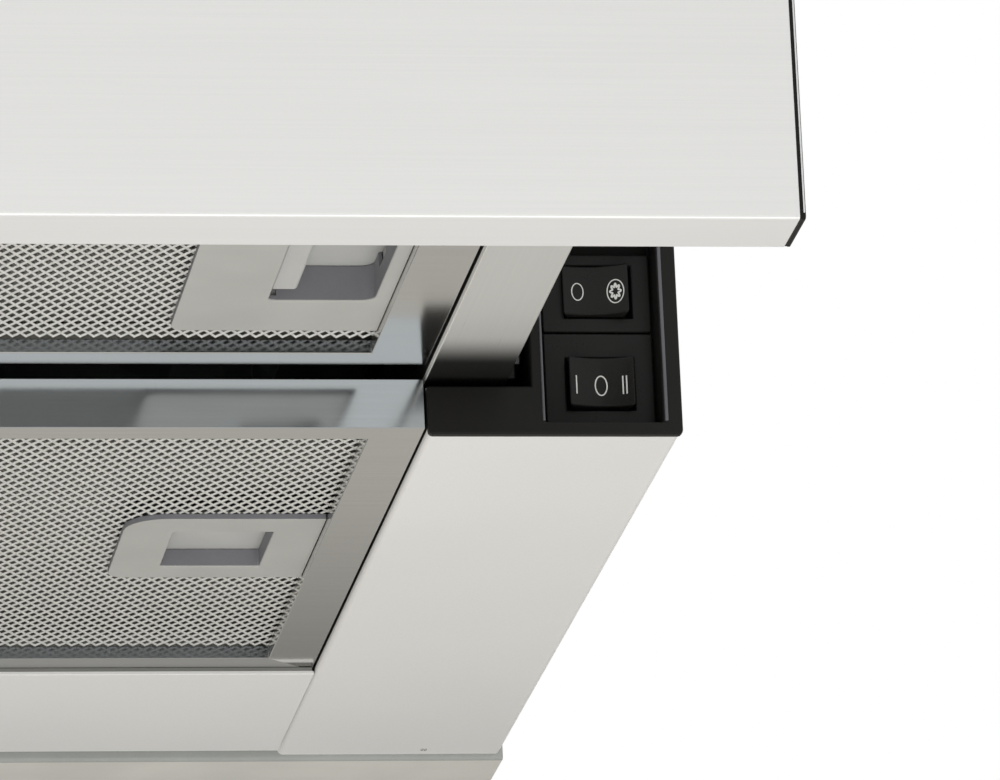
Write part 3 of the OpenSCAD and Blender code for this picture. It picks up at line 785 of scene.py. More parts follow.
@dataclass(frozen=True)
class RolledMetal(Finish):
    """Smooth rolled sheet: nearly a mirror, with faint rolling lines and a soft haze."""

    grain: Axis = Axis.X
    haze: float = 0.05
    depth: float = 1.5e-6

    def dress(self) -> Shader:
        """Thin lines along the rolling direction and a slow haze that changes the roughness."""
        shader = Shader(self.name, {"Metallic": 1.0})
        lines = shader.noise(shader.grained(self.grain, 1500.0, 25.0), 1.0, 2.0)
        haze = shader.noise(shader.place(), 22.0, 3.0)
        share = (lines * 0.7 + haze * 0.3).between(0.3, 0.7)
        shader.set(
            Base_Color=shader.shades(self.colour, 0.97, 1.03, share),
            Roughness=haze * (2 * self.haze) + lines * self.haze + (self.roughness - 1.5 * self.haze),
        )
        shader.bump(lines, self.depth)
        return shader


@dataclass(frozen=True)
class SatinPaint(Finish):
    """Satin silver paint on sheet: fine flake, a little orange peel and slight unevenness."""

    flake: float = 0.35

    def dress(self) -> Shader:
        """A fine noise for the flake, a middle one for the orange peel and a slow one for tone."""
        shader = Shader(self.name, {"Metallic": self.flake, "Coat Roughness": 0.3})
        where = shader.place()
        flake = shader.noise(where, 5200.0, 1.0)
        peel = shader.noise(where, 900.0, 2.0)
        slow = shader.noise(where, 11.0, 2.0)
        share = (flake * 0.6 + slow * 0.4).between(0.35, 0.65)
        shader.set(
            Base_Color=shader.shades(self.colour, 0.965, 1.03, share),
            Roughness=peel * 0.1 + slow * 0.06 + (self.roughness - 0.08),
        )
        shader.bump(peel * 0.7 + flake * 0.3, 5e-6)
        return shader


@dataclass(frozen=True)
class MouldedPlastic(Finish):
    """Moulded plastic with a spark-eroded skin."""

    texture: float = 2400.0
    depth: float = 1.6e-5
    specular: float = 0.5
    contrast: float = 0.05

    def dress(self) -> Shader:
        """A fine pebble noise makes the skin, and a slow one its polish worn by handling."""
        shader = Shader(self.name, {"Specular IOR Level": self.specular})
        where = shader.place()
        skin = shader.noise(where, self.texture, 3.0, 0.6)
        worn = shader.noise(where, 60.0, 2.0)
        share = (skin * 0.4 + worn * 0.6).between(0.32, 0.68)
        shader.set(
            Base_Color=shader.shades(self.colour, 1 - self.contrast, 1 + self.contrast, share),
            Roughness=skin * 0.12 + worn * 0.12 + (self.roughness - 0.12),
        )
        shader.bump(skin, self.depth)
        return shader


@dataclass(frozen=True)
class PlatedMetal(Finish):
    """Plated or cast metal whose crystals each have their own shade."""

    crystal: float = 160.0
    contrast: float = 0.16
    depth: float = 8e-6

    def dress(self) -> Shader:
        """Crystal cells bent by noise shade the metal, and change how rough each one is."""
        shader = Shader(self.name, {"Metallic": 1.0})
        where = shader.place()
        grain = shader.noise(where, self.crystal * 6, 3.0)
        cell = shader.cells(where, self.crystal) * 0.7 + grain * 0.3
        share = cell.between(0.1, 0.9)
        shader.set(
            Base_Color=shader.shades(self.colour, 1 - self.contrast, 1 + self.contrast, share),
            Roughness=cell * 0.18 + (self.roughness - 0.09),
        )
        shader.bump(grain, self.depth)
        return shader


@dataclass(frozen=True)
class StrandMetal(Finish):
    """Bright slit and stretched aluminium, with the drag marks of the slitting knife."""

    metallic: float = 0.4

    def dress(self) -> Shader:
        """A streak noise along the strands, brighter on the stretched flats."""
        shader = Shader(self.name, {"Metallic": self.metallic})
        streak = shader.noise(shader.place((2600.0, 500.0, 2600.0)), 1.0, 2.0)
        shader.set(
            Base_Color=shader.shades(self.colour, 0.86, 1.05, streak.between(0.3, 0.7)),
            Roughness=streak * 0.2 + (self.roughness - 0.1),
        )
        shader.bump(streak, 6e-6)
        return shader


@dataclass(frozen=True)
class PadMetal(Finish):
    """The deeper mesh layers of a grease filter: crossed strands over dark holes."""

    pitch: tuple[float, float] = (0.0028, 0.0047)

    def dress(self) -> Shader:
        """Two families of slanted sine lines cross; where either is near 0 there is a strand, and
        between the strands the colour is darkened as painted shade in the holes.
        """
        shader = Shader(self.name, {"Metallic": 0.8})
        x, y, _ = shader.parts(shader.place((math.pi / self.pitch[0], math.pi / self.pitch[1], 1)))
        strand = 1 - (x + y).wave().size().least((x - y).wave().size()).between(0.12, 0.42)
        grime = shader.noise(shader.place(), 300.0, 2.0)
        shader.set(
            Base_Color=shader.shades(self.colour, 0.3, 1.0, strand * (0.6 + grime * 0.4)),
            Roughness=grime * 0.2 + (self.roughness - 0.1),
        )
        shader.bump(strand, 2e-4)
        return shader


@dataclass(frozen=True)
class FrostedLens(Finish):
    """Frosted lamp cover with a fine prism pattern."""

    def dress(self) -> Shader:
        """Crossed sine ridges a millimetre apart make the prisms, over a fine frost."""
        shader = Shader(self.name, {"Transmission Weight": 0.15, "IOR": 1.49, "Coat Weight": 0.3})
        x, y, _ = shader.parts(shader.place((3900.0, 3900.0, 1.0)))
        ridge = x.wave() * y.wave() * 0.5 + 0.5
        frost = shader.noise(shader.place(), 3000.0, 1.0)
        shader.set(
            Base_Color=shader.shades(self.colour, 0.9, 1.0, ridge * 0.7 + frost * 0.3),
            Roughness=frost * 0.15 + (self.roughness - 0.07),
        )
        shader.bump(ridge, 6e-5)
        return shader


BRUSHED_FRONT = BrushedSteel(
    "brushed_front", "brushed_front", (0.72, 0.716, 0.705), 0.42,
    metallic=0.2, depth=3e-6, contrast=0.02,
)
# Lighter copy of the front's brushed steel for the panel's bottom bend: a painted highlight.
BRUSHED_PAINTED_HIGHLIGHT = BrushedSteel(
    "brushed_painted_highlight", "brushed_front", (0.95, 0.95, 0.94), 0.35,
    metallic=0.2, depth=3e-6, contrast=0.02,
)
PAINTED_STEEL = SatinPaint("painted_steel", "painted_steel", (0.765, 0.758, 0.742), 0.42, flake=0.1)
# Lighter, non-metal copy of the arms' satin steel for the lowest strip of their outer wall: a painted
# highlight.
SATIN_PAINTED_HIGHLIGHT = BrushedSteel(
    "satin_painted_highlight", "satin_steel", (0.9, 0.89, 0.85), 0.4,
    grain=Axis.Y, metallic=0.0, depth=8e-8, contrast=0.03,
)
# Its band from y -0.163 to -0.143, just before the arm goes into the corner housing, is darkened as
# painted shade.
SATIN_STEEL = BrushedSteel(
    "satin_steel", "satin_steel", (0.56, 0.556, 0.53), 0.3,
    grain=Axis.Y, metallic=0.3, depth=8e-8, contrast=0.03, painted_shade_band=(-0.163, -0.143),
)
# Dark steel for the guide rails and the joint dents; the darkness is painted shade in the arm's tunnel
# and in the dents.
RAIL_STEEL_PAINTED_SHADE = PlatedMetal(
    "rail_steel_painted_shade", "galvanised", (0.16, 0.165, 0.17), 0.45,
    crystal=90.0, contrast=0.12, depth=3e-6,
)
BAR_STEEL = RolledMetal("bar_steel", "satin_steel", (0.62, 0.62, 0.60), 0.32)
GALVANISED = PlatedMetal(
    "galvanised_sheet", "galvanised", (0.66, 0.68, 0.69), 0.38,
    crystal=70.0, contrast=0.1, depth=3e-6,
)
ZINC = PlatedMetal(
    "zinc_hardware", "zinc_hardware", (0.70, 0.70, 0.68), 0.3,
    crystal=900.0, contrast=0.08,
)
FRAME_ALUMINIUM = RolledMetal(
    "filter_aluminium", "filter_aluminium", (0.735, 0.73, 0.705), 0.13,
    haze=0.025,
)
# Darker, bluish copy of the filter aluminium for the front bar's outer face and the rear bar's inner
# wall: a painted reflection.
FRAME_PAINTED_REFLECTION = RolledMetal(
    "filter_aluminium_painted_reflection", "filter_aluminium", (0.50, 0.53, 0.56), 0.13,
    haze=0.025,
)
FILTER_STRAND = StrandMetal("filter_mesh", "filter_mesh", (0.70, 0.695, 0.66), 0.4, metallic=0.1)
# Darker copy of the strand metal for each strand's rear-facing side: painted shade.
STRAND_PAINTED_SHADE = StrandMetal(
    "filter_mesh_painted_shade", "filter_mesh", (0.30, 0.30, 0.29), 0.5,
    metallic=0.1,
)
FILTER_PAD = PadMetal("filter_pad", "filter_mesh", (0.5, 0.49, 0.45), 0.5)
BLACK_PLASTIC = MouldedPlastic(
    "black_plastic", "black_plastic", (0.0125, 0.0122, 0.0115), 0.42,
    depth=8e-6, specular=0.12,
)
# Lighter, glossier black plastic for the recess ribs: a painted highlight along the recess's edges.
RIB_PAINTED_HIGHLIGHT = MouldedPlastic("rib_plastic", "black_plastic", (0.09, 0.09, 0.1), 0.3, depth=4e-6)
CAP_PLASTIC = MouldedPlastic(
    "cap_plastic", "black_plastic", (0.012, 0.012, 0.0115), 0.4,
    texture=1800.0, depth=6e-6, specular=0.1,
)
# Light grey for a strip down the end cap's front edge: a painted highlight of the rounded rim.
CAP_PAINTED_HIGHLIGHT = MouldedPlastic(
    "cap_painted_highlight", "black_plastic", (0.62, 0.63, 0.63), 0.3,
    texture=1800.0, depth=4e-6,
)
ROCKER_PLASTIC = MouldedPlastic(
    "rocker_plastic", "rocker_plastic", (0.0125, 0.0122, 0.0115), 0.3,
    texture=3200.0, depth=3e-6, specular=0.15,
)
MARK_PAINT = MouldedPlastic(
    "switch_marks", "rocker_plastic", (0.62, 0.62, 0.59), 0.5,
    texture=3000.0, depth=3e-6,
)
# Dark bluish grey for the latch plate's side wall and pocket wall: painted shade.
POCKET_PAINTED_SHADE = MouldedPlastic(
    "pocket_plastic", "latch_plastic", (0.2, 0.2, 0.215), 0.5,
    texture=2000.0, depth=9e-6, specular=0.2,
)
LATCH_PLASTIC = MouldedPlastic(
    "latch_plastic", "latch_plastic", (0.392, 0.388, 0.366), 0.5,
    texture=2000.0, depth=9e-6, specular=0.3,
)
SLIDER_PLASTIC = MouldedPlastic(
    "latch_slider_plastic", "latch_slider_plastic", (0.42, 0.42, 0.405), 0.45,
    texture=2000.0, depth=9e-6, specular=0.3,
)
STRIP_PLASTIC = MouldedPlastic(
    "strip_plastic", "strip_plastic", (0.66, 0.645, 0.60), 0.4,
    texture=1500.0, depth=8e-6,
)
# Near-black paint for the inner faces beside narrow gaps: painted shade.
GAP_SHADE = SatinPaint("gap_painted_shade", "painted_steel", (0.012, 0.012, 0.012), 0.6, flake=0.1)
# Dark grey foam of the rear seal, set to also stand for the shade under the filter's rear bar: partly
# painted shade.
SEAL_FOAM_AND_SHADE = MouldedPlastic(
    "seal_foam_and_painted_shade", "bumper_rubber", (0.21, 0.21, 0.2), 0.7,
    texture=900.0, depth=2e-5, specular=0.1,
)
# Dull dark paint for the underside of the fixed filter's rear bar: painted shade in place of its dim
# reflection.
FRAME_REAR_PAINTED_SHADE = SatinPaint("frame_rear_painted_shade", "filter_aluminium", (0.27, 0.27, 0.26), 0.5, flake=0.1)
# Darker copy of the strip plastic for the strip's front nose: painted shade.
STRIP_NOSE_PAINTED_SHADE = MouldedPlastic(
    "strip_nose_painted_shade", "strip_plastic", (0.33, 0.34, 0.325), 0.5,
    texture=1500.0, depth=8e-6, specular=0.3,
)
NYLON = MouldedPlastic(
    "nylon", "nylon", (0.014, 0.014, 0.0135), 0.4,
    texture=1700.0, depth=8e-6, specular=0.2,
)
RUBBER = MouldedPlastic(
    "bumper_rubber", "bumper_rubber", (0.02, 0.02, 0.02), 0.7,
    texture=900.0, depth=3e-5,
)
LAMP_TRIM = RolledMetal("lamp_trim", "lamp_trim", (0.70, 0.70, 0.68), 0.24, grain=Axis.Y, haze=0.04)
LAMP_LENS = FrostedLens("lamp_lens", "lamp_lens", (0.86, 0.87, 0.86), 0.35)
CAST_ALUMINIUM = PlatedMetal(
    "cast_aluminium", "cast_aluminium", (0.55, 0.55, 0.54), 0.5,
    crystal=500.0, contrast=0.1, depth=3e-5,
)
CAPACITOR_CASE = MouldedPlastic(
    "capacitor_case", "capacitor_case", (0.72, 0.72, 0.69), 0.35,
    texture=1200.0, depth=6e-6,
)
BRASS = RolledMetal(
    "terminal_brass", "terminal_brass", (0.78, 0.60, 0.30), 0.28,
    grain=Axis.Z, haze=0.06,
)


def dress_nodes(finish: Finish, *nodes: str) -> None:
    """Gives CAD nodes whose own shape is shown their finish."""
    for node in nodes:
        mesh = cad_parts[node].data
        mesh.materials.clear()
        mesh.materials.append(finish.material())
        LOG.info("%s: its own solid in %s", node, finish.name)


# ---------------------------------------------------------------- the hood's sub-assemblies


@dataclass
class Tray:
    """The folded steel tray: side panels, rear panel, top, and what is fixed to them."""

    half: float = 298.3
    opening: float = 245.0
    depth: float = 264.0
    top: float = 57.2
    sheet: float = 0.8
    lip: float = 10.5
    lip_end: float = 254.0
    keeper: tuple[float, float] = (93.35, 104.35)
    keeper_z: tuple[float, float] = (6.3, 9.65)
    screws: tuple[float, float] = (280.0, 90.0)
    shade: float = 1.6
    filter_end: float = 193.6
    rear_lip: float = 190.5
    flange_end: float = 195.2

    def side_section(self, lip: float) -> Array:
        """The side panel's section (x, z): lip, underside, outer wall and top flange.

        Args:
            lip: height of the lip beside the opening.

        Returns:
            A closed outline, with points at the keeper slot's edges where the lip has room.
        """
        mid = self.sheet / 2
        slot = self.keeper_z if lip > self.keeper_z[1] else (lip - 0.2, lip - 0.1)
        x0, x1 = self.opening + mid, self.half - mid
        line = [
            (x0, lip), (x0, slot[1]), (x0, slot[0]), (x0, self.shade), (x0, mid),
            (x1, mid), (x1, self.top - mid), (290.1, self.top - mid),
        ]
        return folded(line, [0, 0, 0, 0, 0.9, 0.7, 0.7, 0], self.sheet)

    def side_panel(self, side: Side) -> None:
        """Carries the section back along y; its lip drops near the rear, and the latch bolt's
        keeper slot is cut through both faces of the lip."""
        tall, low = self.side_section(self.lip), self.side_section(2.0)
        stops = [0.0, *self.keeper, self.filter_end, self.lip_end, self.lip_end + 0.05, self.depth]
        rings = np.stack(
            [np.insert(tall if y <= self.lip_end else low, 1, y, axis=1) for y in stops]
        )
        middle = (tall + np.roll(tall, -1, axis=0)) / 2
        # Beside the filter, the lip's inner face above the shade height is near-black: painted shade in
        # the gap.
        tints = np.zeros((len(stops) - 1, len(tall)), int)
        tints[:3] = (np.abs(middle[:, 0] - self.opening) < 0.01) & (middle[:, 1] > self.shade)
        form = Form()
        form.grid(rings, windows=[(1, *wall_faces(tall, self.keeper_z))], tints=tints)
        form.on(side).build(
            f"side_panel_{side.word}_sheet", "hood", PAINTED_STEEL, GAP_SHADE,
            replaces=[f"side_panel_{side.word}"], edge=0.16,
        )

    def rear_edge(self, points: Array) -> Array:
        """Lays the rear panel's front flange flat under the filter's rear bar: the flange's points
        go to the edge's y, no higher than the sheet."""
        front = points[:, 1] < self.flange_end
        edge = np.full(len(points), self.rear_lip)
        flat = np.stack([points[:, 0], edge, np.minimum(points[:, 2], self.sheet)], axis=1)
        return np.where(front[:, None], flat, points)

    def joint_marks(self) -> None:
        """The two small press-joint dents near each rear corner: a rounded lip whose middle sinks,
        turned about z and drawn out three times as long along y."""
        form = Form()
        radius = np.array([0.0, 0.16, 0.22, 0.3, 0.36, 0.36, 0.0])
        height = np.array([0.1, 0.1, -0.02, -0.06, 0.04, 0.3, 0.3])
        for x in (279.15, 279.95):
            centre = np.array([x, 260.0, 0.0])
            form.lathe(np.stack([radius, height], axis=1), (0.0, 0.0, 0.0), Axis.Z, 24)
            form.points[-1] = form.points[-1] * (1, 3.0, 1) + centre
        # The dents are drawn in the dark rail finish, a painted shade in them.
        for side in Side:
            form.on(side).build(f"joint_marks_{side.word}", "hood", RAIL_STEEL_PAINTED_SHADE)

    def seal(self) -> None:
        """The foam strip on the rear panel's front edge, under the filter's rear bar; its dark grey is
        partly a painted shade there.
        """
        low = np.array([self.rear_lip + 0.05, self.sheet])
        half = self.opening - 0.7
        form = Form()
        form.bar(loop(low, low + (1.2, 0.9), 0.1), (-half, half), Axis.X, 0.2)
        form.build("rear_seal_strip", "hood", SEAL_FOAM_AND_SHADE)

    def nuts(self) -> None:
        """Clinch nuts under the top plate: a shank through the plate and a body with turned edges,
        as one profile (radius, height), with a threaded bore."""
        form = Form()
        top, turns = self.top, 9
        plate = top + self.sheet
        height = np.linspace(top - 4.6, top + 0.6, 2 * turns)
        thread = np.stack([np.tile([2.1, 2.4], turns), height], axis=1)
        outside = [
            (3.1, plate), (3.1, top), (4.6, top), (5.0, top - 0.4), (5.0, top - 4.4), (4.5, top - 5.0),
            (2.6, top - 5.0),
        ]
        profile = np.vstack([outside, thread, [(2.6, plate)]])
        for x in (-self.screws[0], self.screws[0]):
            for y in (-self.screws[1], self.screws[1]):
                form.lathe(profile, (x, 132.0 + y, 0.0), Axis.Z, 72)
        form.build("clinch_nuts_turned", "hood", ZINC, replaces=["clinch_nuts"])

    def build(self) -> None:
        """Builds the tray's pieces in order."""
        for side in Side:
            self.side_panel(side)
        softened("rear_panel", "rear_panel_sheet", "hood", PAINTED_STEEL, 0.3, reshape=self.rear_edge)
        softened("rear_wall", "rear_wall_sheet", "hood", PAINTED_STEEL, 0.8)
        softened("top_plate", "top_plate_sheet", "hood", GALVANISED, 0.8)
        softened("front_beam", "front_beam_sheet", "hood", GALVANISED, 0.8)
        self.joint_marks()
        self.seal()
        self.nuts()


@dataclass
class Rocker:
    """A rocker switch's cap: a dished face with a rounded rim, and raised marks on it."""

    name: str
    node: str
    body: str
    centre: tuple[float, float]
    tilt: float = 0.0
    width: float = 13.9
    height: float = 10.8
    pivot: float = 8.0
    face: float = -5.8
    back: float = 2.6
    dish: float = 1.7
    line: float = 0.27

    def depth(self, x: Array) -> Array:
        """Depth of the face at x from its middle: a parabola that is deepest there by the dish."""
        return self.face + self.dish * (1 - (2 * x / self.width) ** 2)

    def cap(self) -> Form:
        """The cap as sections (y, z) set along x: each begins on the dished face and ends at the
        back, the first and last few shrink over a quarter circle to round the rim, and x is drawn
        in towards the back.

        Returns:
            The closed form at rest, about the pivot.
        """
        half, tall, rim = self.width / 2, self.height / 2, 0.45
        turn = np.linspace(0, np.pi / 2, 5)
        ends = [(-half + rim * (1 - math.cos(a)), rim * (1 - math.sin(a))) for a in turn]
        flat = [(x, 0.0) for x in np.linspace(rim - half, half - rim, 21)[1:-1]]
        rings = []
        for x, inset in ends + flat + [(-x, inset) for x, inset in ends[::-1]]:
            front = float(self.depth(np.array(x))) + inset
            shape = loop((front, inset - tall), (self.back, tall - inset), (rim, 0.3, 0.3, rim), 4)
            across = x * np.interp(shape[:, 0], [front, self.back], [1.0, 0.75])
            rings.append(np.insert(shape, 0, across, axis=1))
        form = Form()
        form.grid(np.stack(rings))
        pin = np.array([(1.5, -6.4), (1.5, 6.4), (0.0, 6.4), (0.0, -6.4)])
        form.lathe(pin, (0, 0, 0), Axis.Z, 24)
        return form

    def placed(self, form: Form) -> Form:
        """A form about the pivot, put in its place and turned to the rest tilt."""
        centre = np.array([self.centre[0], self.pivot, self.centre[1]])
        form.points = [p + centre for p in form.points]
        return form.turned(self.tilt, centre[:2])

    def mark(self, lines: Sequence[tuple[Array, bool, float]]) -> None:
        """Raised marks that follow the dished face.

        Args:
            lines: each mark's middle line about the rocker's centre, whether it is closed, and
                its width as a multiple of the usual one.
        """

        def on_face(points: Array, under: float) -> Array:
            """Plane points (x, z) on the face, a hair proud of it."""
            depth = self.depth(points[:, 0]) - 0.03 + under
            return np.stack([points[:, 0], depth, points[:, 1]], axis=1)

        form = Form()
        for path, closed, share in lines:
            form.ribbon(path, self.line * share, closed, on_face)
        self.placed(form).build(f"{self.name}_marks", self.body, MARK_PAINT)

    def build(self, lines: Sequence[tuple[Array, bool, float]]) -> None:
        """Builds the cap and its marks."""
        cap = self.placed(self.cap())
        cap.build(f"{self.name}_cap", self.body, ROCKER_PLASTIC, replaces=[self.node])
        self.mark(lines)


def upright(x: float, z: float, tall: float) -> tuple[Array, bool, float]:
    """An upright stroke of a mark, as nine points along a line."""
    return np.stack([np.full(9, x), np.linspace(z - tall / 2, z + tall / 2, 9)], axis=1), False, 1.0


@dataclass
class Corners:
    """The two moulded housings at the tray's front corners, and the switches in the right one."""

    fan: tuple[float, float] = (282.85, 13.05)
    light: tuple[float, float] = (283.1, 33.3)
    bezel_x: tuple[float, float] = (271.1, 294.3)
    fan_bezel: tuple[float, float] = (3.1, 24.1)
    light_bezel: tuple[float, float] = (24.5, 41.6)

    def housing(self, side: Side) -> None:
        """A housing in cells: face plate and body, less the arm's tunnel, the hollows behind, and
        on the right the recess of the switches. Its front edges are rounded, and the face's four
        corners most of all.

        Args:
            side: the side of the hood; the right one has the recess.
        """
        x = [245.0, 246.7, 248.4, 267.0, 269.8, 270.6, 274.3, 291.9, 294.3, 294.7, 296.5, 298.8]
        y = [-2.0, 0.0, 2.0, 6.5, 8.5, 34.0]
        z = [0.0, 1.3, 2.7, 5.8, 10.5, 38.6, 40.6, 44.0, 54.0, 55.6, 57.2]
        middles = [(np.array(b[:-1]) + np.array(b[1:])) / 2 for b in (x, y, z)]
        gx, gy, gz = np.meshgrid(*middles, indexing="ij")
        body = (gx > 246.7) & (gx < 296.5) & (gz > 1.3) & (gz < 55.6)
        tunnel = (gx < 267.0) & (gz > 10.5) & (gz < 38.6)
        hollow = (gx > 270.6) & (gx < 294.3) & (gy > 8.5) & (gz > 2.7) & (gz < 54)
        upper = (gx > 248.4) & (gx < 269.8) & (gy > 2) & (gz > 40.6) & (gz < 54)
        solid = ((gy < 0) | body) & ~tunnel & ~hollow & ~upper
        if side is Side.RIGHT:
            recess = (gx > 269.8) & (gx < 294.7) & (gy < 6.5) & (gz > 2.7) & (gz < 44.0)
            holes = (gx > 274.3) & (gx < 291.9) & (gy > 6) & (gz > 5.8) & (gz < 40.6)
            solid &= ~recess & ~holes

        def weigh(one: Array, two: Array) -> Array:
            """1 on the face's corners, half on the other edges near the front, 0 behind."""
            across = np.abs(one[:, :1])
            x_out = np.isclose(across, [x[0], x[-1]], atol=0.01).any(1)
            z_out = np.isclose(one[:, 2:], [z[0], z[-1]], atol=0.01).any(1)
            along = np.abs(one[:, 1] - two[:, 1]) > 1
            front = np.maximum(one[:, 1], two[:, 1]) < 6.6
            rim = np.maximum(np.abs(one[:, 1]), np.abs(two[:, 1])) < 0.1
            return np.where(front & ~rim, np.where(along & x_out & z_out, 1.0, 0.45), 0.0)

        form = Form()
        form.cells((x, y, z), solid)
        node = "switch_housing" if side is Side.RIGHT else "end_housing"
        form.on(side).build(
            f"{node}_moulding", "hood", BLACK_PLASTIC, replaces=[node], edge=1.0, weigh=weigh
        )

    def bezel(self, switch: str, at: tuple[float, float], span: tuple[float, float]) -> None:
        """A switch body in cells: the bezel plate and the box behind it, open for the rocker.

        Args:
            switch: what it switches.
            at: the rocker's centre (x, z).
            span: the bezel's lower and upper edge.
        """
        x = [self.bezel_x[0], at[0] - 8.5, at[0] - 7.3, at[0] + 7.3, at[0] + 8.5, self.bezel_x[1]]
        y = [5.0, 6.5, 14.0, 26.0]
        z = [span[0], at[1] - 6.95, at[1] - 5.75, at[1] + 5.75, at[1] + 6.95, span[1]]
        solid = np.zeros((5, 3, 5), bool)
        solid[:, 0, :] = True
        solid[1:4, 1:, 1:4] = True
        solid[2, :2, 2] = False

        def weigh(one: Array, two: Array) -> Array:
            """1 on the bezel's four corners, less on its other edges, 0 on the box."""
            plate = np.maximum(one[:, 1], two[:, 1]) < 6.6
            corner = (np.abs(one[:, 1] - two[:, 1]) > 1) & (np.abs(one[:, 0] - at[0]) > 9)
            return np.where(plate, np.where(corner, 1.0, 0.4), 0.0)

        form = Form()
        form.cells((x, y, z), solid)
        form.build(
            f"{switch}_switch_bezel", "hood", ROCKER_PLASTIC,
            replaces=[f"{switch}_switch_body"], edge=0.8, weigh=weigh,
        )

    def ribs(self) -> None:
        """Two thin half-round ribs that stand on the right housing's face beside the recess, in a
        lighter plastic that is a painted highlight along its edges.
        """
        form = Form()
        for x, width in ((269.15, 0.55), (295.0, 0.75)):
            section = loop((x, -2.3), (x + width, -1.8), (0.24, 0.24, 0.05, 0.05))
            form.bar(section, (2.9, 43.8), Axis.Z, 0.2)
        form.build("switch_recess_ribs", "hood", RIB_PAINTED_HIGHLIGHT)

    def build(self) -> None:
        """Builds the housings, both switches and their marks."""
        for side in Side:
            self.housing(side)
        self.ribs()
        self.bezel("light", self.light, self.light_bezel)
        self.bezel("fan", self.fan, self.fan_bezel)
        dress_nodes(BRASS, "switch_terminals")
        Rocker("fan_rocker", "fan_rocker", "fan_rocker", self.fan).build(
            [
                upright(-5.4, -0.75, 4.0),
                (oval((-0.05, -0.75), (2.5, 4.2)), True, 1.0),
                upright(4.5, -0.75, 4.0),
                upright(5.25, -0.75, 4.0),
            ]
        )
        sun = (4.2, -0.5)
        Rocker("light_rocker", "light_rocker", "light_rocker", self.light, -8.0, line=0.22).build(
            [
                (oval((-3.8, -0.3), (2.4, 3.7)), True, 1.0),
                (oval(sun, (3.5, 5.1)), True, 1.0),
                (oval(sun, (1.8, 2.6), 96, 8, 0.28), True, 1.6),
            ]
        )


@dataclass
class Lamps:
    """The two round lamps in the rear panel."""

    x: float = 90.0
    y: float = 226.6
    glass: float = 24.6

    def ring(self, side: Side) -> None:
        """The trim ring: a soft rounded profile (radius, height) turned about the lamp's axis."""
        corners = [
            (22, 0), (22, -1.6), (29, -1.6), (30, -0.8), (30, 0), (26.6, 0), (26.6, 10), (25, 10),
            (25, 0),
        ]
        profile = rounded(corners, [0, 0.7, 0.6, 0.5, 0.2, 0, 0.3, 0.3, 0])
        form = Form()
        form.lathe(profile, (self.x, self.y, 0), Axis.Z, 96)
        node = f"lamp_ring_{side.word}"
        form.on(side).build(f"lamp_trim_{side.word}", "hood", LAMP_TRIM, replaces=[node])

    def lens(self, side: Side) -> None:
        """The cover: its face is a low dome with rings, dome * (1 - (r/R)^2) deep plus a ripple."""
        dome, ripple, pitch, thick = 0.3, 0.04, 1.3, 2.0
        radius = np.linspace(0, self.glass, 100)
        rings = ripple * np.cos(2 * np.pi * radius / pitch)
        face = 0.35 - dome * (1 - (radius / self.glass) ** 2) + rings
        back = [(self.glass, thick), (0.0, thick)]
        profile = np.vstack([np.stack([radius, face], axis=1), back])
        form = Form()
        form.lathe(profile, (self.x, self.y, 0), Axis.Z, 72)
        node = f"lamp_lens_{side.word}"
        form.on(side).build(f"lamp_cover_{side.word}", "hood", LAMP_LENS, replaces=[node])

    def build(self) -> None:
        """Builds both lamps."""
        for side in Side:
            self.ring(side)
            self.lens(side)
            dress_nodes(CAST_ALUMINIUM, f"lamp_module_{side.word}")


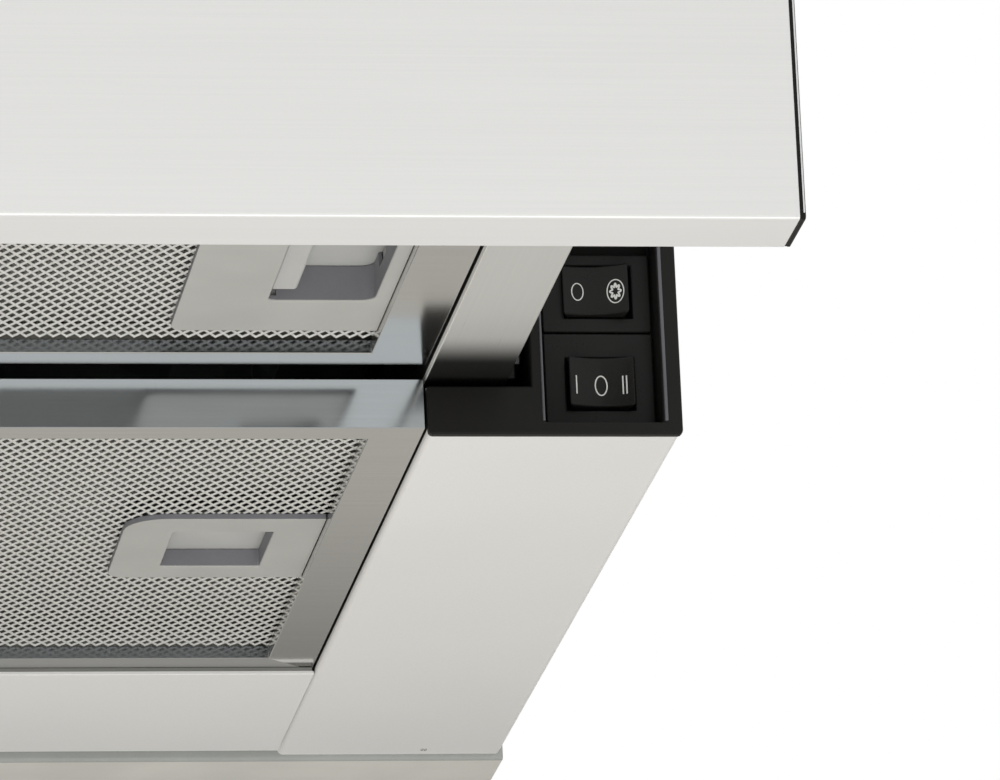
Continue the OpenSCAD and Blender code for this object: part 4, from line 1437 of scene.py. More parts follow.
@dataclass
class GreaseFilter:
    """A grease filter: a channel frame, its expanded mesh, a deeper pad and a latch.

    The latch's plate and the pocket in it are given by two corners (x, y). The finger tab has an
    overhang to the left, a width, and a length that it is shorter by at the rear. The pocket's wall
    is as thin as the plate up to an x before the bolt and another behind it.
    """

    word: str
    body: str
    latch_body: str
    front: float
    rear: float
    base: float
    bars: tuple[float, float, float]
    plate: tuple[tuple[float, float], tuple[float, float]]
    plate_radii: tuple[float, float, float, float]
    pocket: tuple[tuple[float, float], tuple[float, float]]
    pocket_radii: tuple[float, float, float, float]
    tab: tuple[float, float, float]
    thin_to: tuple[float, float]
    floor: float
    bolt_y: float
    half: float = 244.6
    thick: float = 10.7
    skin: float = 1.0
    mesh_set: float = 3.1
    face_set: float = 1.85
    pitch: tuple[float, float] = (2.8, 4.78)
    zigzag: float = 0.68
    strand: tuple[float, float] = (0.44, 0.3)
    slack: float = 9.4
    bolt_z: tuple[float, float] = (4.8, 7.55)
    bolt_half: float = 5.0
    slot_room: float = 0.3
    tongues: tuple[float, ...] = ()

    def frame_profile(self) -> tuple[Array, Array, Array]:
        """The frame's section as three arrays: a fixed distance inwards, a share of the bar's own
        width inwards, and a height above the frame's face.

        Returns:
            The closed profile, with points at the bolt slot's edges on both faces of the wall.
        """
        turn = np.linspace(0, np.pi / 2, 5)
        out, fold = 0.2, 0.2
        slot = (self.bolt_z[0] - self.slot_room, self.bolt_z[1] + self.slot_room)
        rows = [(0, 0, self.thick), (0, 0, slot[1]), (0, 0, slot[0])]
        rows += [(out * (1 - math.cos(a)), 0, out * (1 - math.sin(a))) for a in turn]
        rows += [(fold * (math.sin(a) - 1), 1, fold * (1 - math.cos(a))) for a in turn]
        rows += [(0, 1, 3.0), (-0.8, 1, 3.0), (-0.8, 1, 0.8), (1, 0, 1), (1, 0, slot[0])]
        rows += [(1, 0, slot[1]), (1, 0, self.thick - 0.9), (0, 1, self.thick - 0.9), (0, 1, self.thick)]
        fixed, share, height = np.array(rows, float).T
        return fixed, share, height

    def frame(self) -> None:
        """Carries the profile round the rectangle: at a corner each point is moved inwards by its
        distance on both sides, which mitres the bars though their widths differ."""
        fixed, share, height = self.frame_profile()
        side = fixed + share * self.bars[0]
        ends = (self.front + fixed + share * self.bars[1], self.rear - fixed - share * self.bars[2])
        z = self.base + height
        cut = (self.bolt_y - self.bolt_half - 0.5, self.bolt_y + self.bolt_half + 0.5)
        corners = [
            np.stack([side - self.half, ends[0], z], axis=1),
            np.stack([self.half - side, ends[0], z], axis=1),
            np.stack([self.half - side, np.full_like(z, cut[0]), z], axis=1),
            np.stack([self.half - side, np.full_like(z, cut[1]), z], axis=1),
            np.stack([self.half - side, ends[1], z], axis=1),
            np.stack([side - self.half, ends[1], z], axis=1),
        ]
        form = Form()
        inner = int(np.flatnonzero((fixed == 1) & (height == self.bolt_z[0] - self.slot_room))[0])
        # The front bar's outer face and the rear bar's inner wall get the bluish painted reflection; on
        # the fixed filter the rear bar's underside gets the dull painted shade.
        tints = np.zeros((len(corners), len(fixed)), int)
        tints[0, :5] = tints[4, 12] = 1
        tints[4, 3:12] = 2 * (self.body == "hood")
        form.grid(np.stack(corners), closed=(True, True), windows=[(2, 1, inner)], tints=tints)
        for x in self.tongues:
            low = (x - 8, self.front - 6.2, self.base + 4)
            form.box(low, (x + 8, self.front + self.skin, self.base + 5.5))
        form.build(
            f"{self.word}_frame_channel", self.body, FRAME_ALUMINIUM, FRAME_PAINTED_REFLECTION, FRAME_REAR_PAINTED_SHADE,
            replaces=[f"{self.word}_frame"], edge=0.12,
        )

    def patches(self, reach: float, low: float, high: float) -> list[tuple[float, float, float, float]]:
        """The filter's opening less the latch's box, as four rectangles (x0, x1, y0, y1).

        Args:
            reach: half the opening's width.
            low: its front edge.
            high: its rear edge.

        Returns:
            The part left of the box, the parts before and behind it, and the part right of it.
        """
        left = self.pocket[0][0] - self.slack
        front, rear = self.pocket[0][1] - 1.4, self.pocket[1][1] + 1.4
        return [(-reach, left, low, high), (left, reach, low, front), (left, reach, rear, high)]

    def strands(self) -> None:
        """The expanded sheet, as one function of strand s, step t and section corner c.

        x = pitch * s / 2 plus a zigzag that changes sign with s + t, so that neighbours touch at
        every other step; y = t * half a pitch; the section is a V that points down, and whichever
        of its two sides turns to the rear is painted darker, as painted shade. The sheet stops
        short of the latch's box.
        """
        low, high = self.front + self.bars[1] - 1.3, self.rear - self.bars[2] + 1.3
        form = Form()
        for x0, x1, y0, y1 in self.patches(self.half - self.bars[0] + 1.3, low, high):
            across, along = self.pitch
            strand = np.arange(math.ceil(x0 / across * 2), math.floor(x1 / across * 2) + 1)
            first, last = math.ceil((y0 - low) / along * 2), math.floor((y1 - low) / along * 2)
            s, t = np.meshgrid(strand, np.arange(first, last + 1), indexing="ij")
            sign = np.where((s + t) % 2 == 0, 1.0, -1.0)
            x = s * across / 2 + self.zigzag * sign
            y = low + t * along / 2
            z = np.full_like(x, self.base + self.mesh_set)
            half, tall = self.strand
            section = np.array([(-half, 0.0, tall), (half, 0.0, tall), (0.0, 0.0, 0.0)])
            points = np.stack([x, y, z], axis=-1)[:, :, None] + section
            count, steps = s.shape
            index = np.arange(count * steps * 3).reshape(count, steps, 3)
            ring = np.concatenate([index, index[..., :1]], axis=-1)
            here, there = ring[:, :-1], ring[:, 1:]
            quads = [here[..., :-1], here[..., 1:], there[..., 1:], there[..., :-1]]
            base = form.count
            form.add(points, np.stack(quads, axis=-1).reshape(-1, 4))
            # Whichever slanted side turns to the rear gets the darker finish: painted shade.
            rear_side_shade = np.zeros((count, steps - 1, 3), int)
            rear_side_shade[..., 1], rear_side_shade[..., 2] = sign[:, :-1] > 0, sign[:, :-1] < 0
            form.tints[-1] = rear_side_shade.ravel()
            for end in (index[:, 0, ::-1], index[:, -1]):
                form.faces.append(end + base)
                form.tints.append(np.zeros(count, int))
        form.build(
            f"{self.word}_expanded_mesh", self.body, FILTER_STRAND, STRAND_PAINTED_SHADE,
            replaces=[f"{self.word}_mesh"], merge=False,
        )

    def pad(self) -> None:
        """The deeper layers as wavy slabs: height = sine along x times sine along y, 0.25 mm."""
        inside = 1.4
        form = Form()
        for x0, x1, y0, y1 in self.patches(self.half - inside, self.front + inside, self.rear - inside):
            x = np.linspace(x0, x1, max(int((x1 - x0) / 4), 4))
            y = np.linspace(y0, y1, max(int((y1 - y0) / 4), 4))
            gx, gy = np.meshgrid(x, y, indexing="ij")
            wave = 0.25 * np.sin(gx * 0.8) * np.sin(gy * 0.7)
            low = np.stack([gx, gy, self.base + 8.75 + wave], axis=-1)
            high = np.stack([gx, gy, self.base + 9.4 + wave * 0.5], axis=-1)
            form.grid(low, closed=(False, False), caps=False)
            form.grid(high[::-1], closed=(False, False), caps=False)
            rim = [low[:, 0], low[-1], low[::-1, -1], low[0, ::-1]]
            top = [high[:, 0], high[-1], high[::-1, -1], high[0, ::-1]]
            form.grid(np.stack([np.vstack(rim), np.vstack(top)]), caps=False)
        form.build(f"{self.word}_pad", self.body, FILTER_PAD)

    def latch_plate(self) -> None:
        """The moulded plate as a stack of loops that closes on itself: back edge, side, rounded
        edge, face, rounded pocket edge, pocket wall and back again. The wall is as deep as the
        slider allows: it stops at the plate's back where the finger tab slides, and above the
        bolt elsewhere, so its depth is a function of x and y.
        """
        face, back = self.base + self.face_set, self.base + self.mesh_set
        floor = self.base + self.face_set + self.floor - 0.15
        low, high = np.array(self.pocket[0]), np.array(self.pocket[1])
        room, step = self.bolt_half + 0.4, 0.05

        def outline(least: Array, most: Array, radii: Array, z: Array | float) -> Array:
            """A rounded rectangle with two added points on its front and rear side and four on its
            right side, where the wall's depth changes within a step."""
            (x0, y0), (x1, y1), (near, far) = least, most, self.thin_to
            notch = [(x1, self.bolt_y + d) for d in (-room, step - room, room - step, room)]
            corners = [(x0, y0), (near, y0), (near + step, y0), (x1, y0), *notch]
            corners += [(x1, y1), (far + step, y1), (far, y1), (x0, y1)]
            radius = np.zeros(len(corners))
            radius[[0, 3, 8, 11]] = radii
            return np.insert(rounded(corners, radius, 8), 2, z, axis=1)

        def outer(inset: float, z: float) -> Array:
            """The plate's outline, inset."""
            radii = np.maximum(np.array(self.plate_radii) - inset, 0.1)
            return outline(np.array(self.plate[0]) + inset, np.array(self.plate[1]) - inset, radii, z)

        def inner(grow: float, z: Array | float) -> Array:
            """The pocket's outline, grown outwards."""
            return outline(low - grow, high + grow, np.array(self.pocket_radii) + grow, z)

        edge = inner(0.0, 0.0)
        limit = np.where(edge[:, 1] < self.bolt_y, self.thin_to[0], self.thin_to[1])
        deep = np.where(edge[:, 0] < limit + 0.02, back, floor)
        bolt = (edge[:, 0] > high[0] - 0.02) & (np.abs(edge[:, 1] - self.bolt_y) < room - 0.02)
        deep = np.where(bolt, min(floor, self.base + self.bolt_z[1] - 1.45), deep)
        turn = np.linspace(0, np.pi / 2, 4)
        soft, lip, wall = 0.15, 0.35, 0.75
        rings = [outer(0.0, back)]
        rings += [outer(soft * (1 - math.cos(a)), face + soft * (1 - math.sin(a))) for a in turn]
        rings += [inner(lip * (1 - math.sin(a)), face + lip * (1 - math.cos(a))) for a in turn]
        rings += [inner(0.0, deep), inner(wall, deep), inner(wall, back)]
        # The plate's outer side wall and the pocket's wall get the dark finish: painted shade.
        tints = np.zeros(len(rings), int)
        tints[[0, 8, 9, 10]] = 1
        form = Form()
        form.grid(np.stack(rings), closed=(True, True), tints=tints)
        form.build(
            f"{self.word}_latch_moulding", self.body, LATCH_PLASTIC, POCKET_PAINTED_SHADE,
            replaces=[self.node("plate")],
        )

    def node(self, part: str) -> str:
        """Name of the latch's CAD node."""
        return f"{self.word.removesuffix('_filter')}_latch_{part}"

    def slider(self) -> None:
        """The slider: the pocket's floor, a finger tab with soft edges, and a bolt whose nose is
        slanted so that it springs past the keeper."""
        top, bottom = self.base + self.face_set + self.floor, self.base + self.bolt_z[1]
        under = top + 1.3
        (x0, y0), (x1, y1) = self.pocket
        left, width, short = self.tab
        start = self.base + self.mesh_set + 0.1
        form = Form()
        tail = y1 + (1.2 if short else 0.5)
        form.box((x0 - max(left, 0.6), y0 - 0.5, top), (x1 + 1.3, tail, under), 0.25)
        radii = (0.3, min(0.9, width * 0.4), 0.1, 0.1)
        tab = loop((x0 - left, start), (x0 - left + width, under), radii)
        form.bar(tab, (y0 - 0.5, y1 + 0.5 - short), Axis.Y, 0.5)
        if short:
            form.box((x0 - 0.6, tail - 0.4, start), (x0 + 2.6, tail, top + 0.1), 0.1)
        neck = min(top + 0.05, bottom - 1.3)
        near, far = self.bolt_y - self.bolt_half, self.bolt_y + self.bolt_half
        form.box((x1 + 0.9, near, neck), (x1 + 7.5, far, bottom), 0.2)
        form.box((x1 + 0.9, near, neck), (x1 + 1.9, far, under), 0.2)
        tip, foot = self.half + 3.2, self.base + self.bolt_z[0]
        root = x1 + 6.6
        nose = [(root, foot), (tip - 2.2, foot), (tip, foot + 1.6), (tip, bottom), (root, bottom)]
        form.bar(rounded(nose, [0.3, 0.6, 0.4, 0.2, 0.2]), (near, far), Axis.Y, 0.4)
        form.build(
            f"{self.word}_latch_finger", self.latch_body, SLIDER_PLASTIC, replaces=[self.node("slider")]
        )

    def build(self) -> None:
        """Builds the frame, mesh, pad and latch."""
        self.frame()
        self.strands()
        self.pad()
        self.latch_plate()
        self.slider()


@dataclass
class Visor:
    """The pull-out visor: brushed front panel, end caps, arms and what joins them."""

    half: float = 297.6
    front: float = -147.1
    back: float = -128.6
    height: float = 60.0
    sheet: float = 0.8
    arm_x: tuple[float, float] = (245.2, 262.4)
    arm_y: tuple[float, float] = (-129.4, 100.0)
    arm_z: tuple[float, float] = (12.5, 35.2)
    arm_sheet: float = 1.2
    keeper: tuple[float, float] = (-62.45, -51.45)
    keeper_z: tuple[float, float] = (18.65, 22.0)
    screw_z: tuple[float, float] = (18.0, 29.6)

    def panel(self) -> None:
        """The front panel: a section (y, z) folded at the bottom and the top, carried along x."""
        mid = self.sheet / 2
        line = [
            (self.back - mid, 8.0),
            (self.back - mid, mid),
            (self.front + mid, mid),
            (self.front + mid, self.height - mid),
            (self.back, self.height - mid),
        ]
        section = folded(line, [0, 0.45, 0.45, 0.45, 0], self.sheet)
        form = Form()
        # The bottom front bend gets the second, lighter finish: a painted highlight along it.
        bend = 0.38
        form.bar(
            section, (-self.half, self.half), Axis.X, 0.12,
            lambda middle: (middle[:, 0] < self.front + bend) & (middle[:, 1] < bend),
        )
        form.build("front_panel_skin", "visor", BRUSHED_FRONT, BRUSHED_PAINTED_HIGHLIGHT, replaces=["front_panel"])

    def end_cap(self, side: Side) -> None:
        """The end cap: outlines (y, z) stacked along x, with a waist next to the panel and a raised
        edge beyond it, and a light strip down the front of that edge that is a painted highlight."""
        low, high = np.array([self.front, 0.0]), np.array([self.back, self.height])
        stack = [
            (-7.5, 1.3), (0.0, 1.3), (0.0, 0.14), (0.6, 0.14), (0.64, 0.05), (1.08, 0.05), (1.17, 0.14),
            (1.2, 0.4),
        ]
        rings = []
        for out, inset in stack:
            shape = loop(low + inset, high - inset, max(0.8 - inset, 0.2), 6)
            rings.append(np.insert(shape, 0, self.half + out, axis=1))
        form = Form()
        form.grid(np.stack(rings))
        name = f"end_cap_{side.word}"
        form.on(side).build(f"{name}_moulding", "visor", CAP_PLASTIC, replaces=[name])
        # The light strip down the front of the raised edge is a painted highlight.
        trim = Form()
        x, y = self.half + 0.68, self.front
        trim.bar(loop((x, y), (x + 0.38, y + 0.4), 0.12, 3), (1.2, self.height - 1.2), Axis.Z, 0.15)
        trim.on(side).build(f"{name}_trim", "visor", CAP_PAINTED_HIGHLIGHT)

    def arm(self, side: Side) -> None:
        """A slide arm: a channel section (x, z) carried along y, with the latch's keeper slot
        through its web, and a flange for two screws at its front end."""
        mid = self.arm_sheet / 2
        x0, (z0, z1) = self.arm_x[0] + mid, (self.arm_z[0] + mid, self.arm_z[1] - mid)
        highlight_top = z0 + 0.95
        line = [
            (self.arm_x[1], z0), (x0, z0), (x0, highlight_top), (x0, self.keeper_z[0]),
            (x0, self.keeper_z[1]), (x0, z1), (self.arm_x[1], z1),
        ]
        section = folded(line, [0, 0, 0, 0, 0, 0.8, 0], self.arm_sheet)
        # On the outer wall below the keeper slot, the lowest strip is lighter as a painted highlight and
        # the rest is near-black as painted shade in the gap beside the filter.
        middle = (section + np.roll(section, -1, axis=0)) / 2
        outside = (np.abs(middle[:, 0] - self.arm_x[0]) < 0.01) & (middle[:, 1] < self.keeper_z[0])
        tints = np.where(outside, np.where(middle[:, 1] < highlight_top, 1, 2), 0)[None]
        stops = [self.arm_y[0], *self.keeper, self.arm_y[1]]
        rings = np.stack([np.insert(section, 1, y, axis=1) for y in stops])
        cut = wall_faces(section, self.keeper_z, self.arm_x[0] + 2)
        form = Form()
        form.grid(rings, windows=[(1, *cut)], tints=tints)
        form.box(
            (self.arm_x[0] + 0.6, self.arm_y[0], self.arm_z[0] + 0.6),
            (self.arm_x[1], self.arm_y[0] + self.arm_sheet, self.arm_z[1] - 0.6),
        )
        form.on(side).build(
            f"arm_{side.word}_channel", "visor", SATIN_STEEL, SATIN_PAINTED_HIGHLIGHT, GAP_SHADE,
            replaces=[f"arm_{side.word}"], edge=0.25,
        )

    def screws(self) -> None:
        """Four pan-head screws behind the arms' flanges, which point backwards."""
        form = Form()
        for side in Side:
            for z in self.screw_z:
                form.add(*pan_head((side.value * 254.2, -126.4, z), 3.4, 1.8, Axis.Y))
        form.build("visor_screw_heads", "visor", ZINC, replaces=["visor_screws"])

    def build(self) -> None:
        """Builds the visor's pieces in order."""
        self.panel()
        for side in Side:
            self.end_cap(side)
            self.arm(side)
        softened("cross_bar", "cross_bar_sheet", "visor", BAR_STEEL, 0.8)
        softened("visor_cover", "visor_cover_sheet", "visor", BAR_STEEL, 0.3)
        self.screws()
        softened("glide_shoes", "glide_shoe_mouldings", "visor", NYLON, 0.6)


def pan_head(tip: Point, radius: float, tall: float, axis: Axis) -> tuple[Array, Array]:
    """A screw head with a cross recess.

    Height over the seat at (r, a) is tall times the square root of 1 - 0.75 (r/R)^2, less 60% of
    tall where |x| or |y| is under 0.16 R and r is under 0.6 R.

    Args:
        tip: the head's highest point, on its axis.
        radius: the head's radius.
        tall: its height.
        axis: the direction in which the head points.

    Returns:
        Points and faces; the middle and the seat are closed too.
    """
    steps = 32
    share = np.concatenate([np.linspace(0.02, 1, 9), [1.0, 0.5]])[:, None]
    angle = np.linspace(0, 2 * np.pi, steps, endpoint=False)[None]
    x, y = share * np.cos(angle), share * np.sin(angle)
    height = tall * np.sqrt(1 - 0.75 * share**2) + 0 * angle
    cross = (np.minimum(np.abs(x), np.abs(y)) < 0.16) & (share < 0.6)
    height = np.where(cross, height - 0.6 * tall, height)
    height[-2:] = 0
    flat = np.stack([x * radius, y * radius], axis=-1)
    points = np.insert(flat, axis.value, height - height[0].max(), axis=-1) + np.asarray(tip)
    index = np.arange(height.size).reshape(height.shape)
    wrap = np.hstack([index, index[:, :1]])
    quads = np.stack([wrap[:-1, :-1], wrap[1:, :-1], wrap[1:, 1:], wrap[:-1, 1:]], axis=-1)

    def fan(ring: Array) -> Array:
        """Fills a ring by triangles from its first point, written as squares."""
        first = np.full(steps, ring[0])
        return np.stack([ring, np.roll(ring, -1), first, first], axis=-1)[1:-1]

    return points.reshape(-1, 3), np.vstack([quads.reshape(-1, 4), fan(index[0]), fan(index[-1])])


@dataclass
class Blower:
    """The motor housing on top of the tray, its outlet with two flaps, and the blower in it."""

    top: float = 222.0
    middle: float = 132.0
    collar: float = 74.6
    inner: float = 72.6
    rise: float = 36.0

    def outlet(self) -> None:
        """The outlet collar: its flange, wall and flap seat are one profile turned about z."""
        corners = [
            (self.inner, 0), (self.collar + 12, 0), (self.collar + 12, 2.4), (self.collar, 2.4),
            (self.collar, self.rise - 1), (self.collar - 0.6, self.rise), (self.inner, self.rise),
            (self.inner, 12.4), (self.inner - 2.4, 12.4), (self.inner - 2.4, 10.6), (self.inner, 10.6),
        ]
        radii = [0.2, 0.6, 0.7, 0.0, 0.4, 0.2, 0.4, 0.2, 0.5, 0.5, 0.2]
        form = Form()
        form.lathe(rounded(corners, radii, 4), (0, self.middle, self.top), Axis.Z, 128)
        form.build("outlet_collar_moulding", "hood", BLACK_PLASTIC, replaces=["outlet_collar"])

    def screws(self) -> None:
        """Six pan-head screws through the housing's flange."""
        form = Form()
        for x in (-200, 0, 200):
            for y in (-113, 113):
                form.add(*pan_head((x, self.middle + y, 60.8), 3.6, 2.0, Axis.Z))
        form.build("housing_screw_heads", "hood", ZINC, replaces=["housing_screws"])

    def build(self) -> None:
        """Builds the housing, outlet and blower."""
        softened("motor_housing", "motor_housing_sheet", "hood", GALVANISED, 1.6, 0.3)
        self.outlet()
        self.screws()
        for end in ("front", "rear"):
            softened(f"flap_{end}", f"flap_{end}_moulding", f"flap_{end}", BLACK_PLASTIC, 0.4, 0.2)
        dress_nodes(ZINC, "flap_pin", "motor_shaft")
        dress_nodes(GALVANISED, "scroll_wall", "inlet_plate_right", "inlet_plate_left", "impeller")
        dress_nodes(CAST_ALUMINIUM, "motor", "motor_bracket")
        dress_nodes(CAPACITOR_CASE, "capacitor")


@dataclass
class Runners:
    """The rails under the tray's top, their bushes and bumpers."""

    def build(self) -> None:
        """Dresses the rails and what guides the arms."""
        for side in Side:
            rail, bush = f"guide_rail_{side.word}", f"guide_bush_{side.word}"
            # The rails take the dark finish, darkened as painted shade in the arm's tunnel.
            softened(rail, f"{rail}_sheet", "hood", RAIL_STEEL_PAINTED_SHADE, 0.4)
            softened(bush, f"{bush}_moulding", "hood", NYLON, 0.4)
        dress_nodes(RUBBER, "end_bumpers")


@dataclass
class WallStrip:
    """The plastic strip that closes the gap to the wall."""

    start: float = 264.0
    half: float = 299.2

    def build(self) -> None:
        """One section (y, z), a rounded nose with two webs standing on it, carried along x."""
        y, top, floor, wall = self.start, 29.7, 0.8, 1.6
        end = y + 26
        corners = [
            (y, -1.4), (end, -1.4), (end, top), (end - wall, top), (end - wall, floor),
            (y + wall, floor), (y + wall, top), (y, top),
        ]
        section = rounded(corners, [1.0, 1.0, 0.5, 0.5, 0.6, 0.6, 0.5, 0.5])
        form = Form()
        # The nose's front face gets the darker finish: painted shade.
        form.bar(
            section, (-self.half, self.half), Axis.X, 0.3, lambda middle: middle[:, 0] < y + 0.98
        )
        form.build("filler_strip_profile", "hood", STRIP_PLASTIC, STRIP_NOSE_PAINTED_SHADE, replaces=["filler_strip"])


@dataclass
class Wiring:
    """The terminal box on top, with its lid and cable gland."""

    x: float = 203.0
    y: float = 100.0
    z: float = 235.0

    def gland(self) -> None:
        """The gland: hexagon collar and a ribbed cap, turned about x. The radius swells as 6 flats
        on the collar and as 18 grip ribs on the cap."""

        def swell(angle: Array, height: Array) -> Array:
            """Hexagon on the collar, ribs on the cap, plain elsewhere."""
            flat = math.cos(math.pi / 6) / np.cos((angle + math.pi / 6) % (math.pi / 3) - math.pi / 6)
            ribs = 1 + 0.03 * np.cos(18 * angle)
            collar = (height > 3.2) & (height < 7.8)
            cap = (height > 8.4) & (height < 14.5)
            return np.where(collar, flat, np.where(cap, ribs, 1.0))

        profile = np.array([
            (3.7, 0), (6, 0), (6, 3), (8.8, 3.1), (9, 3.5), (9, 7.6), (8.4, 7.9), (7.2, 8), (7.2, 8.8),
            (7.2, 14), (6.6, 15.6), (5.4, 17), (3.7, 17),
        ])
        form = Form()
        form.lathe(profile, (self.x, self.y, self.z), Axis.X, 108, swell)
        form.build("cable_gland_turned", "hood", BLACK_PLASTIC, replaces=["cable_gland"])

    def moulding(self, node: str, radius: float, screws: bool) -> None:
        """A moulded box in a CAD node's place: rounded outlines stacked along z, whose inset is a
        quarter circle's at the foot and the top.

        Args:
            node: the CAD node.
            radius: radius of the upright edges.
            screws: whether two lid screws stand on it.
        """
        low, high = (np.array(corner) * 1000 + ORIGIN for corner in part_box(node))
        tall = high[2] - (1.0 if screws else 0.0)
        turn = np.linspace(0, np.pi / 2, 5)
        foot = [(0.5 * (1 - math.sin(a)), low[2] + 0.5 * (1 - math.cos(a))) for a in turn]
        top = [(0.8 * (1 - math.cos(a)), tall - 0.8 * (1 - math.sin(a))) for a in turn]
        rings = []
        for inset, z in foot + top:
            shape = loop(low[:2] + inset, high[:2] - inset, radius - min(inset, 0.8), 6)
            rings.append(np.insert(shape, 2, z, axis=1))
        form = Form()
        form.grid(np.stack(rings))
        if screws:
            for x, y in ((low[0] + 7, low[1] + 7), (high[0] - 7, high[1] - 7)):
                form.add(*pan_head((x, y, high[2] - 0.1), 2.8, 1.0, Axis.Z))
        form.build(f"{node}_moulding", "hood", BLACK_PLASTIC, replaces=[node])

    def build(self) -> None:
        """Builds the box, lid and gland."""
        self.moulding("terminal_box", 2.0, False)
        self.moulding("terminal_lid", 2.5, True)
        self.gland()


# ---------------------------------------------------------------- camera, light and floor


MATT = {"Roughness": 1.0, "Specular IOR Level": 0.0}


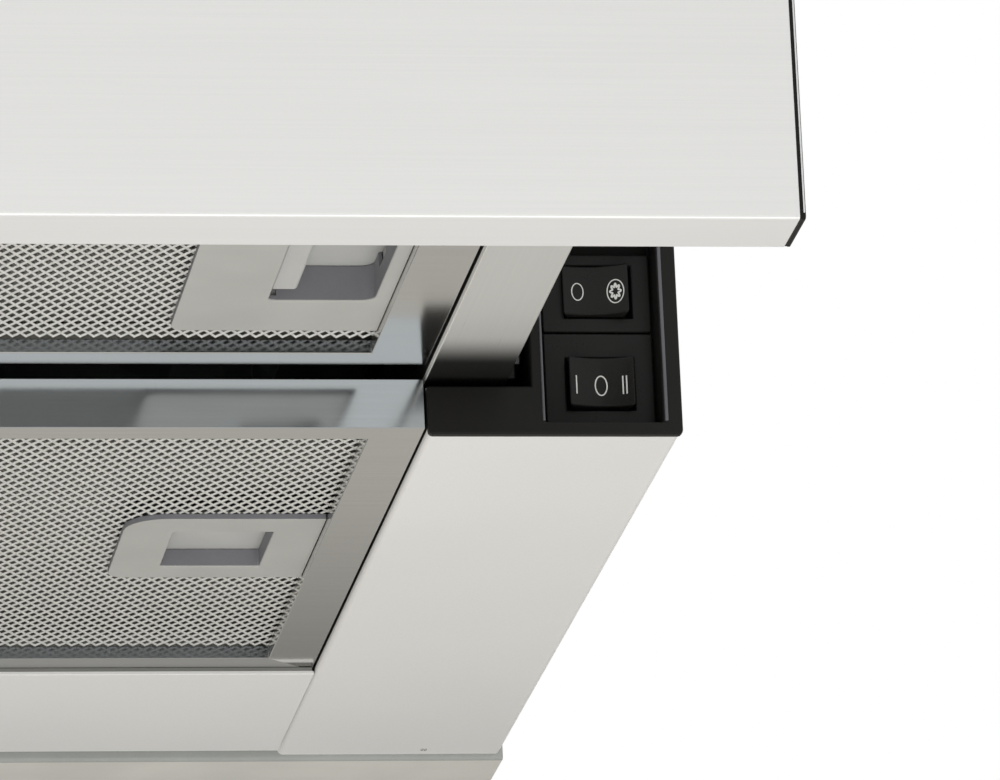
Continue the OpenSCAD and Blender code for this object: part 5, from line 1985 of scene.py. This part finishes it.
@dataclass
class Studio:
    """The camera at the photograph's angle, soft light and a plain pale floor far below."""

    eye: Point = (-0.0062, -1.8247, -0.5637)
    yaw: float = 8.960
    pitch: float = 16.754
    roll: float = -2.505
    lens: float = 308.34
    floor_z: float = -12.0
    floor_half: float = 160.0

    def camera(self) -> None:
        """Aims the camera: forward is (sin yaw cos pitch, cos yaw cos pitch, sin pitch), right is
        (cos yaw, -sin yaw, 0), up is right x forward, and both are rolled about forward."""
        yaw, pitch, roll = (math.radians(v) for v in (self.yaw, self.pitch, self.roll))
        level = math.cos(pitch)
        ahead = np.array([math.sin(yaw) * level, math.cos(yaw) * level, math.sin(pitch)])
        right = np.array([math.cos(yaw), -math.sin(yaw), 0.0])
        up = np.cross(right, ahead)
        across = right * math.cos(roll) + up * math.sin(roll)
        above = up * math.cos(roll) - right * math.sin(roll)
        turn = np.eye(4)
        turn[:3, 0], turn[:3, 1], turn[:3, 2], turn[:3, 3] = across, above, -ahead, self.eye
        data = bpy.data.cameras.new("camera")
        data.lens, data.sensor_width, data.sensor_fit = self.lens, 36.0, "HORIZONTAL"
        data.clip_start, data.clip_end = 0.05, 600.0
        camera = bpy.data.objects.new("camera", data)
        camera.matrix_world = Matrix(turn.tolist())
        bpy.context.scene.collection.objects.link(camera)
        bpy.context.scene.camera = camera

    def sheet(
        self, name: str, corners: Sequence[Point], light: Colour, glow: float, colour: Colour
    ) -> bpy.types.Object:
        """A flat stage piece.

        Args:
            name: its name.
            corners: four corners in metres.
            light: colour of its own light.
            glow: strength of its own light.
            colour: its colour.

        Returns:
            The object, marked as stage.
        """
        mesh = bpy.data.meshes.new(name)
        mesh.from_pydata(np.asarray(corners, float).tolist(), [], [(0, 1, 2, 3)])
        shader = Shader(name, {**MATT, "Base Color": (*colour, 1.0)})
        if glow:
            shader.surface.inputs["Emission Color"].default_value = (*light, 1.0)
            shader.surface.inputs["Emission Strength"].default_value = glow
        mesh.materials.append(shader.material)
        piece = bpy.data.objects.new(name, mesh)
        bpy.context.scene.collection.objects.link(piece)
        return piece

    def card(self, name: str, low: Point, high: Point, glow: Colour) -> None:
        """A glowing upright card, unseen by the camera.

        Args:
            name: its name.
            low: its lower left corner in metres.
            high: its upper right corner, at the same y.
            glow: radiance.
        """
        corners = [low, (high[0], low[1], low[2]), high, (low[0], low[1], high[2])]
        self.sheet(name, corners, glow, 1.0, (0, 0, 0)).visible_camera = False

    def wall_card(self) -> None:
        """A glowing card where the wall would be, with the hood's shade painted into its glow: dim just
        below the hood and brighter lower down.
        """
        y, low, high, black = 0.163, -1.6, -0.0615, (0, 0, 0)
        corners = [(-2, y, low), (2, y, low), (2, y, high), (-2, y, high)]
        card = self.sheet("wall_card", corners, black, 1.0, black)
        shader = Shader("wall_glow", {**MATT, "Base Color": (*black, 1), "Emission Strength": 1.0})
        depth = high - shader.parts(shader.place())[2]
        glow = shader.mix((0.19, 0.188, 0.175), (0.47, 0.455, 0.425), depth.between(0.0, 0.085))
        shader.feed(shader.surface.inputs["Emission Color"], glow)
        card.data.materials[0] = shader.material
        card.visible_camera = False

    def softbox(self, name: str, place: Point, target: Point, size: float, power: float) -> None:
        """A square, white soft light that faces a point.

        Args:
            name: its name.
            place: where it stands, in metres.
            target: the point it faces.
            size: its side.
            power: its power in watts.
        """
        data = bpy.data.lights.new(name, "AREA")
        data.size, data.energy = size, power
        light = bpy.data.objects.new(name, data)
        light.location = place
        way = np.asarray(target, float) - np.asarray(place, float)
        light.rotation_mode = "QUATERNION"
        light.rotation_quaternion = Vector(way).to_track_quat("-Z", "Y")
        light.visible_camera = light.visible_glossy = False
        bpy.context.scene.collection.objects.link(light)

    def world(self) -> None:
        """A near-white surround."""
        world = bpy.data.worlds.new("surround")
        world.use_nodes = True
        back = world.node_tree.nodes["Background"]
        back.inputs["Color"].default_value = (1.0, 1.0, 1.0, 1.0)
        back.inputs["Strength"].default_value = 1.0
        bpy.context.scene.world = world
        bpy.context.scene.view_settings.view_transform = "Standard"

    def build(self) -> None:
        """Sets up the studio."""
        self.camera()
        self.world()
        half, z = self.floor_half, self.floor_z
        floor = [(-half, -half, z), (half, -half, z), (half, half, z), (-half, half, z)]
        self.sheet("floor", floor, (0, 0, 0), 0.0, (0.50, 0.488, 0.462))
        self.card("cool_card", (-5.0, -7.0, -4.2), (5.0, -7.0, -0.9), (0.98, 1.0, 0.99))
        self.wall_card()
        self.softbox("key_light", (0.15, -0.42, -0.55), (0.1, -0.1, 0.0), 0.6, 2.4)
        self.softbox("fill_light", (0.1, 0.06, -0.8), (0.1, 0.09, 0.0), 0.7, 1.05)
        self.softbox("top_light", (0.6, 1.0, 3.2), (0, 0, 0), 2.6, 30)


def main() -> None:
    """Builds the hood from front to back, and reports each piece."""
    logging.basicConfig(level=logging.INFO, format="%(name)s %(message)s")
    Studio().build()
    Tray().build()
    Corners().build()
    Lamps().build()
    GreaseFilter(
        word="rear_filter", body="hood", latch_body="rear_latch",
        front=0.0, rear=193.6, base=1.8, bars=(11.2, 8.0, 10.4),
        plate=((190, 75), (233.3, 121.4)), plate_radii=(9.0, 0.3, 0.3, 4.0),
        pocket=((201, 85), (223, 112.7)), pocket_radii=(0.5, 0.5, 0.5, 0.5),
        tab=(1.6, 1.6, 0.0), thin_to=(201.6, 201.6), floor=4.2, bolt_y=98.85,
    ).build()
    GreaseFilter(
        word="visor_filter", body="visor", latch_body="visor_latch",
        front=-125.0, rear=-4.8, base=14.15, bars=(12.5, 7.8, 7.8),
        plate=((189, -91.4), (232.02, -22.4)), plate_radii=(6.0, 0.3, 0.3, 3.0),
        pocket=((207, -82.0), (228.8, -42.6)), pocket_radii=(1.0, 1.5, 2.8, 1.5),
        tab=(-0.4, 5.3, 4.0), thin_to=(213.3, 208.7), floor=7.7, bolt_y=-56.95,
        tongues=(-150.0, 150.0),
    ).build()
    Visor().build()
    Runners().build()
    Blower().build()
    WallStrip().build()
    Wiring().build()


if __name__ == "__main__":
    main()
